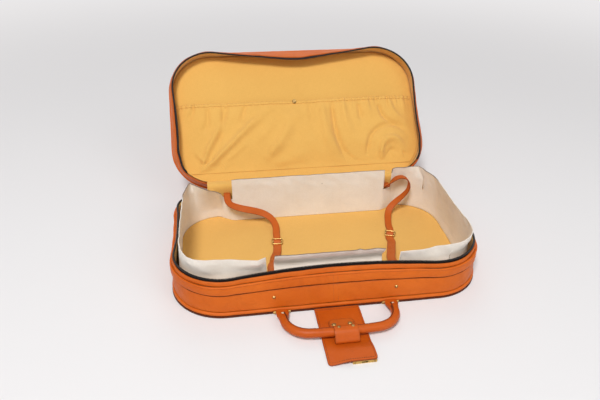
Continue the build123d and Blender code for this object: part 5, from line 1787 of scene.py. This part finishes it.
@dataclass
class LockFlap:
    """The flap under the handle with its patch, keeper loop and studs."""

    tip_y: float = -289
    width: float = 78
    thickness: float = 2.6
    floor: float = 0.2
    rise_start: float = -243
    rise_end: float = -266.5
    lock_height: float = 5.2
    corner: float = 6
    patch_y: float = -191.5
    patch_end: float = -217.5
    grip_y: float = -231
    grip_z: float = 14.3
    loop_radius: float = 8.5
    keeper_width: float = 40

    def risen(self, y: Array) -> Array:
        """How far the lock lifts the flap over it."""
        return self.lock_height * smooth(-y, -self.rise_start, -self.rise_end)

    def flap_level(self, y: Array) -> Array:
        """The level of the flap's middle: flat on the floor, then up over the lock."""
        return self.floor + self.thickness / 2 + self.risen(y)

    def settled(self, points: Array) -> Array:
        """Lets the flap's left side lie on the floor: the lock holds up only the other side."""
        points[:, 2] -= self.risen(points[:, 1]) * (1 - smooth(points[:, 0], -36, -2))
        return points

    def build_flap(self) -> None:
        """Builds the flap with round tip corners, its border seam and its root under the case."""
        y = np.linspace(PIVOT_Y, self.tip_y, 90)
        path = places(0, y, self.flap_level(y))
        strip = Ribbon(path, X_AXIS, self.width, self.thickness, 1.1, 0, (0, self.corner), 2.5, 1.5)
        shape = strip.shape()
        shape.points = self.settled(shape.points)
        shape.points[:, 2] += 0.12 * ripple(shape.points, 42, 141) * smooth(shape.points[:, 2], 1, 2.6)
        Piece("flap_leather", shape, Finish.FLAP_LEATHER, Body.LOCK_FLAP, "lock_flap").make()
        lift = self.thickness / 2 + 0.04
        x = np.linspace(-self.width / 2 + 5.5, self.width / 2 - 5.5, 30)
        line = places(x, self.tip_y + 4.2, self.flap_level(self.tip_y) + lift)
        thread = (3.4, 2.9, 0.42)
        sewn = merged([sewn_edges(strip, 3.2, -lift, *thread), stitches(line, UP, *thread)])
        sewn.points = self.settled(sewn.points)
        sewn.points[:, 2] = np.maximum(sewn.points[:, 2], 0)
        Piece("flap_stitches", sewn, Finish.DARK_THREAD, Body.LOCK_FLAP).make()
        root = Ribbon(np.array([[0, -155.5, 1.2], [0, -164.3, 1.2]]), X_AXIS, self.width, 2, 0.9, 0)
        Piece("flap_root_leather", root.shape(), Finish.FLAP_LEATHER, Body.BASE, "flap_root").make()

    def build_keeper(self) -> None:
        """Builds the waisted patch and the loop from it round the handle's grip."""
        top = self.floor + self.thickness
        y = np.linspace(self.patch_y, self.patch_end - 0.5, 40)
        share = (self.patch_y - y) / (self.patch_y - self.patch_end)
        waist = smooth(share, 0.45, 0.8) * (1 - 0.2 * smooth(share, 0.8, 1))
        width = 44 - 3.5 * waist - 5 * hill(share, 0, 0.16)
        patch = Ribbon(places(0, y, top + 0.8), X_AXIS, width, 1.6, 0.7, 0.25, (6, 1.5), 2, 2.2)
        Piece("patch_leather", patch.shape(), Finish.STRAP_LEATHER, Body.LOCK_FLAP, "keeper_patch").make()
        thread = (2.9, 2, 0.24)
        sewn = sewn_edges(patch, 2.4, -0.95, *thread)
        Piece("patch_stitches", sewn, Finish.DARK_THREAD, Body.LOCK_FLAP).make()

        line = spline(KEEPER_LINE, 150)
        path = places(0, line[:, 0], line[:, 1])
        keeper = Ribbon(path, X_AXIS, self.keeper_width, 2, 0.8, 0, (0, 1.5), 1.3, 1.3)
        Piece("keeper_leather", keeper.shape(), Finish.FLAP_LEATHER, Body.LOCK_FLAP, "keeper_loop").make()
        sewn = sewn_edges(keeper, 2.6, -1.05, *thread)
        Piece("keeper_stitches", sewn, Finish.TAN_THREAD, Body.LOCK_FLAP).make()

    def build_studs(self) -> None:
        """Turns the studs: two large ones on the patch, two small ones above."""
        large = np.array([[0, -0.2], [4, -0.2], [4.1, 0.25], [3.8, 0.7], [3.2, 0.85], [2.75, 0.55],
                          [2.55, 0.6], [2.3, 1.15], [1.6, 1.65], [0.8, 1.85], [0, 1.9]])
        small = np.array([[0, -0.2], [3, -0.2], [3.05, 0.2], [2.8, 0.6], [2.35, 0.65], [2.1, 0.95],
                          [1.4, 1.4], [0.7, 1.6], [0, 1.65]])
        middle, top = (self.patch_y + self.patch_end) / 2, self.floor + self.thickness
        seat = places(np.array([-13.5, 13.5]), middle, top + 1.75)
        shape = scatter(lathe(large, 28), seat, np.stack([np.eye(3)] * 2))
        Piece("patch_buttons", shape, Finish.OLD_BRASS, Body.LOCK_FLAP, "patch_studs").make()
        tilt = math.radians(8)
        out = np.array([0, math.sin(tilt), math.cos(tilt)])
        axes = np.stack([np.stack([X_AXIS, np.cross(out, X_AXIS), out])] * 2)
        seat = places(np.array([-11.5, 11.5]), self.grip_y, self.grip_z) + out * (self.loop_radius + 1)
        shape = scatter(lathe(small, 24), seat, axes)
        Piece("keeper_buttons", shape, Finish.OLD_BRASS, Body.LOCK_FLAP, "keeper_studs").make()

    def build(self) -> None:
        """Builds the flap, the keeper and the studs."""
        self.build_flap()
        self.build_keeper()
        self.build_studs()


@dataclass
class Hinge:
    """What joins the halves: the base's leather strip and roll, and the cloth over the gap."""

    half: float = 185

    def build(self) -> None:
        """Builds the strip with its roll, then the cloth."""
        x = np.linspace(-self.half, self.half, 150)[:, None]
        line = round_at(HINGE_Y, BASE_HEIGHT, 1.75, circle(14))
        roll = grid(places(x, line[:, 0], line[:, 1]), (False, True), capped=True)
        web = Ribbon(np.array([[0, 158.05, 50.2], [0, 158.05, 66.2], [0, 158.9, 68.7], [0, HINGE_Y, 70.9]]),
                     X_AXIS, 2 * self.half, 1, 0.45, 0, (1.5, 0), 1, 1.6)
        Piece("hinge_leather", merged([roll, web.shape()]), Finish.LEATHER, Body.BASE, "hinge_strip").make()
        self.build_cloth()

    def build_cloth(self) -> None:
        """Builds the slack cloth from the base's lining over the roll to the lid's."""
        section = np.array([[151.9, 50], [151.95, 60], [152.3, 68], [154.6, 73.6], [158.2, 76.1],
                            [162.4, 76.9], [166.4, 77.6], [169.6, 76.2]])
        knots = np.concatenate([section, lid_place(0, 9.6, np.array([5, 14, 24, 32]))[:, 1:]])
        line = spline(knots, 60)
        reach = self.half + 22
        points = places(np.linspace(-reach, reach, 180)[:, None], line[:, 0], line[:, 1])
        slack = np.sin(np.pi * np.linspace(0, 1, 60)) ** 2
        waves = 0.5 * ripple(points * (1, 0.3, 0.3), 40, 151) + 0.25 * ripple(points, 15, 152)
        points[..., 2] += waves * slack
        made = Piece("hinge_cloth", grid(points), Finish.TWILL, Body.BASE, closed=False, thickness=0.7,
                     offset=0, blend=(Body.LID, (0, 153.5, 70), (0, 167.5, 76))).make()


def aimed(right: Array, up: Array, back: Array, place: Array | Triple) -> Matrix:
    """Turns a lamp or a camera by its own directions and puts it at a place in metres."""
    return Matrix([*np.stack([right, up, back, place], 1).tolist(), [0, 0, 0, 1]])


@dataclass
class Studio:
    """Floor, lamps and the camera at the photograph's place."""

    focal: float = 595.2
    photo_width: float = 600
    sensor: float = 36
    place: Triple = (-190.9, -912.7, 687.8)
    yaw: float = 9.39
    pitch: float = 31.42
    roll: float = 1.06
    ambient: float = 0.33
    floor: Numbers = (0.79, 0.778, 0.779, 1)
    floor_reach: float = 14
    backdrop: Numbers = (0.83, 0.812, 0.815, 1)

    def build_floor(self) -> None:
        """Lays a pale floor that shows the shadow and fades to the backdrop."""
        paint = Recipe("pale_floor")
        paint.wire(Base_Color=self.floor, Roughness=0.7, Specular_IOR_Level=0.1)
        away = paint.node("VectorMath", {0: paint.space}, operation="LENGTH").outputs["Value"]
        share = paint.node("MapRange", {0: away, 1: 0.9, 2: 2.6}, interpolation_type="SMOOTHSTEP").outputs[0]
        plain = paint.node("Emission", {"Color": self.backdrop}).outputs[0]
        paint.show_plain(share, paint.shader.outputs[0], plain, "Material Output")
        mesh = bpy.data.meshes.new("floor")
        reach = self.floor_reach
        corners = [(-reach, -reach, 0), (reach, -reach, 0), (reach, reach, 0), (-reach, reach, 0)]
        mesh.from_pydata(corners, [], [(0, 1, 2, 3)])
        mesh.materials.append(paint.material)
        shown("floor", mesh)

    def build_world(self) -> None:
        """Lights the object evenly, before a plain backdrop."""
        world = bpy.data.worlds.new("studio")
        bpy.context.scene.world = world
        world.use_nodes = True
        sky = Nodes(world.node_tree)
        even = sky.tree.nodes["Background"]
        sky.put(even.inputs["Color"], (1, 0.99, 1, 1))
        sky.put(even.inputs["Strength"], self.ambient)
        plain = sky.node("Background", {"Color": self.backdrop}).outputs[0]
        sky.show_plain(None, even.outputs[0], plain, "World Output")

    def lamp(self, name: str, place: Triple, size: float, power: float) -> None:
        """Hangs a soft square lamp that looks at the origin."""
        data = bpy.data.lights.new(name, "AREA")
        data.size = size
        data.energy = power
        back = unit(np.array(place))
        side = unit(np.cross(UP, back))
        shown(name, data).matrix_world = aimed(side, np.cross(back, side), back, place)

    def build_camera(self) -> None:
        """Sets the camera where the photograph was taken from."""
        yaw, pitch, roll = (math.radians(x) for x in (self.yaw, self.pitch, self.roll))
        ahead = np.array([math.sin(yaw) * math.cos(pitch), math.cos(yaw) * math.cos(pitch), -math.sin(pitch)])
        right = np.array([math.cos(yaw), -math.sin(yaw), 0])
        up = np.cross(right, ahead)
        cosine, sine = math.cos(roll), math.sin(roll)
        right, up = right * cosine + up * sine, up * cosine - right * sine
        data = bpy.data.cameras.new("camera")
        data.sensor_width = self.sensor
        data.lens = self.focal * self.sensor / self.photo_width
        camera = shown("camera", data)
        camera.matrix_world = aimed(right, up, -ahead, np.array(self.place) * MM)
        bpy.context.scene.camera = camera

    def build(self) -> None:
        """Builds all of it."""
        self.build_floor()
        self.build_world()
        self.lamp("key", (-1, -2.3, 3.7), 1, 146)
        self.lamp("fill", (2.2, -2.6, 2.5), 2.2, 24)
        self.lamp("back", (0.4, 3.4, 3.4), 2.6, 24)
        self.build_camera()
        bpy.context.scene.view_settings.view_transform = "Standard"


# Each band's pair after its node name darkens its low and high edges: partly their own colour, partly painted
# groove shade.
BASE_BANDS = (
    Band("lower_leather", 10.9, 41.2, 0.1, 2.5, 0.75, "lower_band", (0.6, 1)),
    Band("raised_leather", 42.8, 58.4, -2.5, 4.9, 0.75, "raised_band", (1, 0.1), 1.9),
    Band("top_leather", 59, 66.9, 0.1, 2.5, 0.45, "top_band", (1, 0.4)),
)
LID_BANDS = (Band("wall_leather", 10.9, 32.8, 0, 2.6, 0.55, "wall", (0.6, 0.5)),)


def main() -> None:
    """Builds the case's parts in order over the CAD frame and sets up the studio."""
    logging.basicConfig(level=logging.INFO, format="%(name)s: %(message)s")
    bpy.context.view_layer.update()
    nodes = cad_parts
    base = CaseHalf(Half.BASE, BASE_BANDS, 38, 64.8)
    lid = Lid(Half.LID, LID_BANDS, 46, 30.9)
    base.build()
    lid.build()
    base.build_foot_edge_and_shade()
    lid.build_ceiling()
    for part in (FloorPad, InnerWalls, Pocket, Straps, Handle, LockFlap, Hinge):
        part().build()
    dress(nodes, Finish.BOARD, "base_board", "lid_board")
    dress(nodes, Finish.CORD, "handle_core")
    dress(nodes, Finish.LEATHER, "lid_hinge_strip")
    dress(nodes, Finish.BRASS, "left_handle_ring", "right_handle_ring", "lock_case",
          "lock_plate", "lock_staple", "staple_rivets")
    dress(nodes, Finish.OLD_BRASS, "front_rivets", "back_rivets", "lock_screws", "pocket_snap_cap",
          "pocket_snap_post", "left_zip_slider", "right_zip_slider", "left_zip_pull", "right_zip_pull")
    Studio().build()


if __name__ == "__main__":
    main()
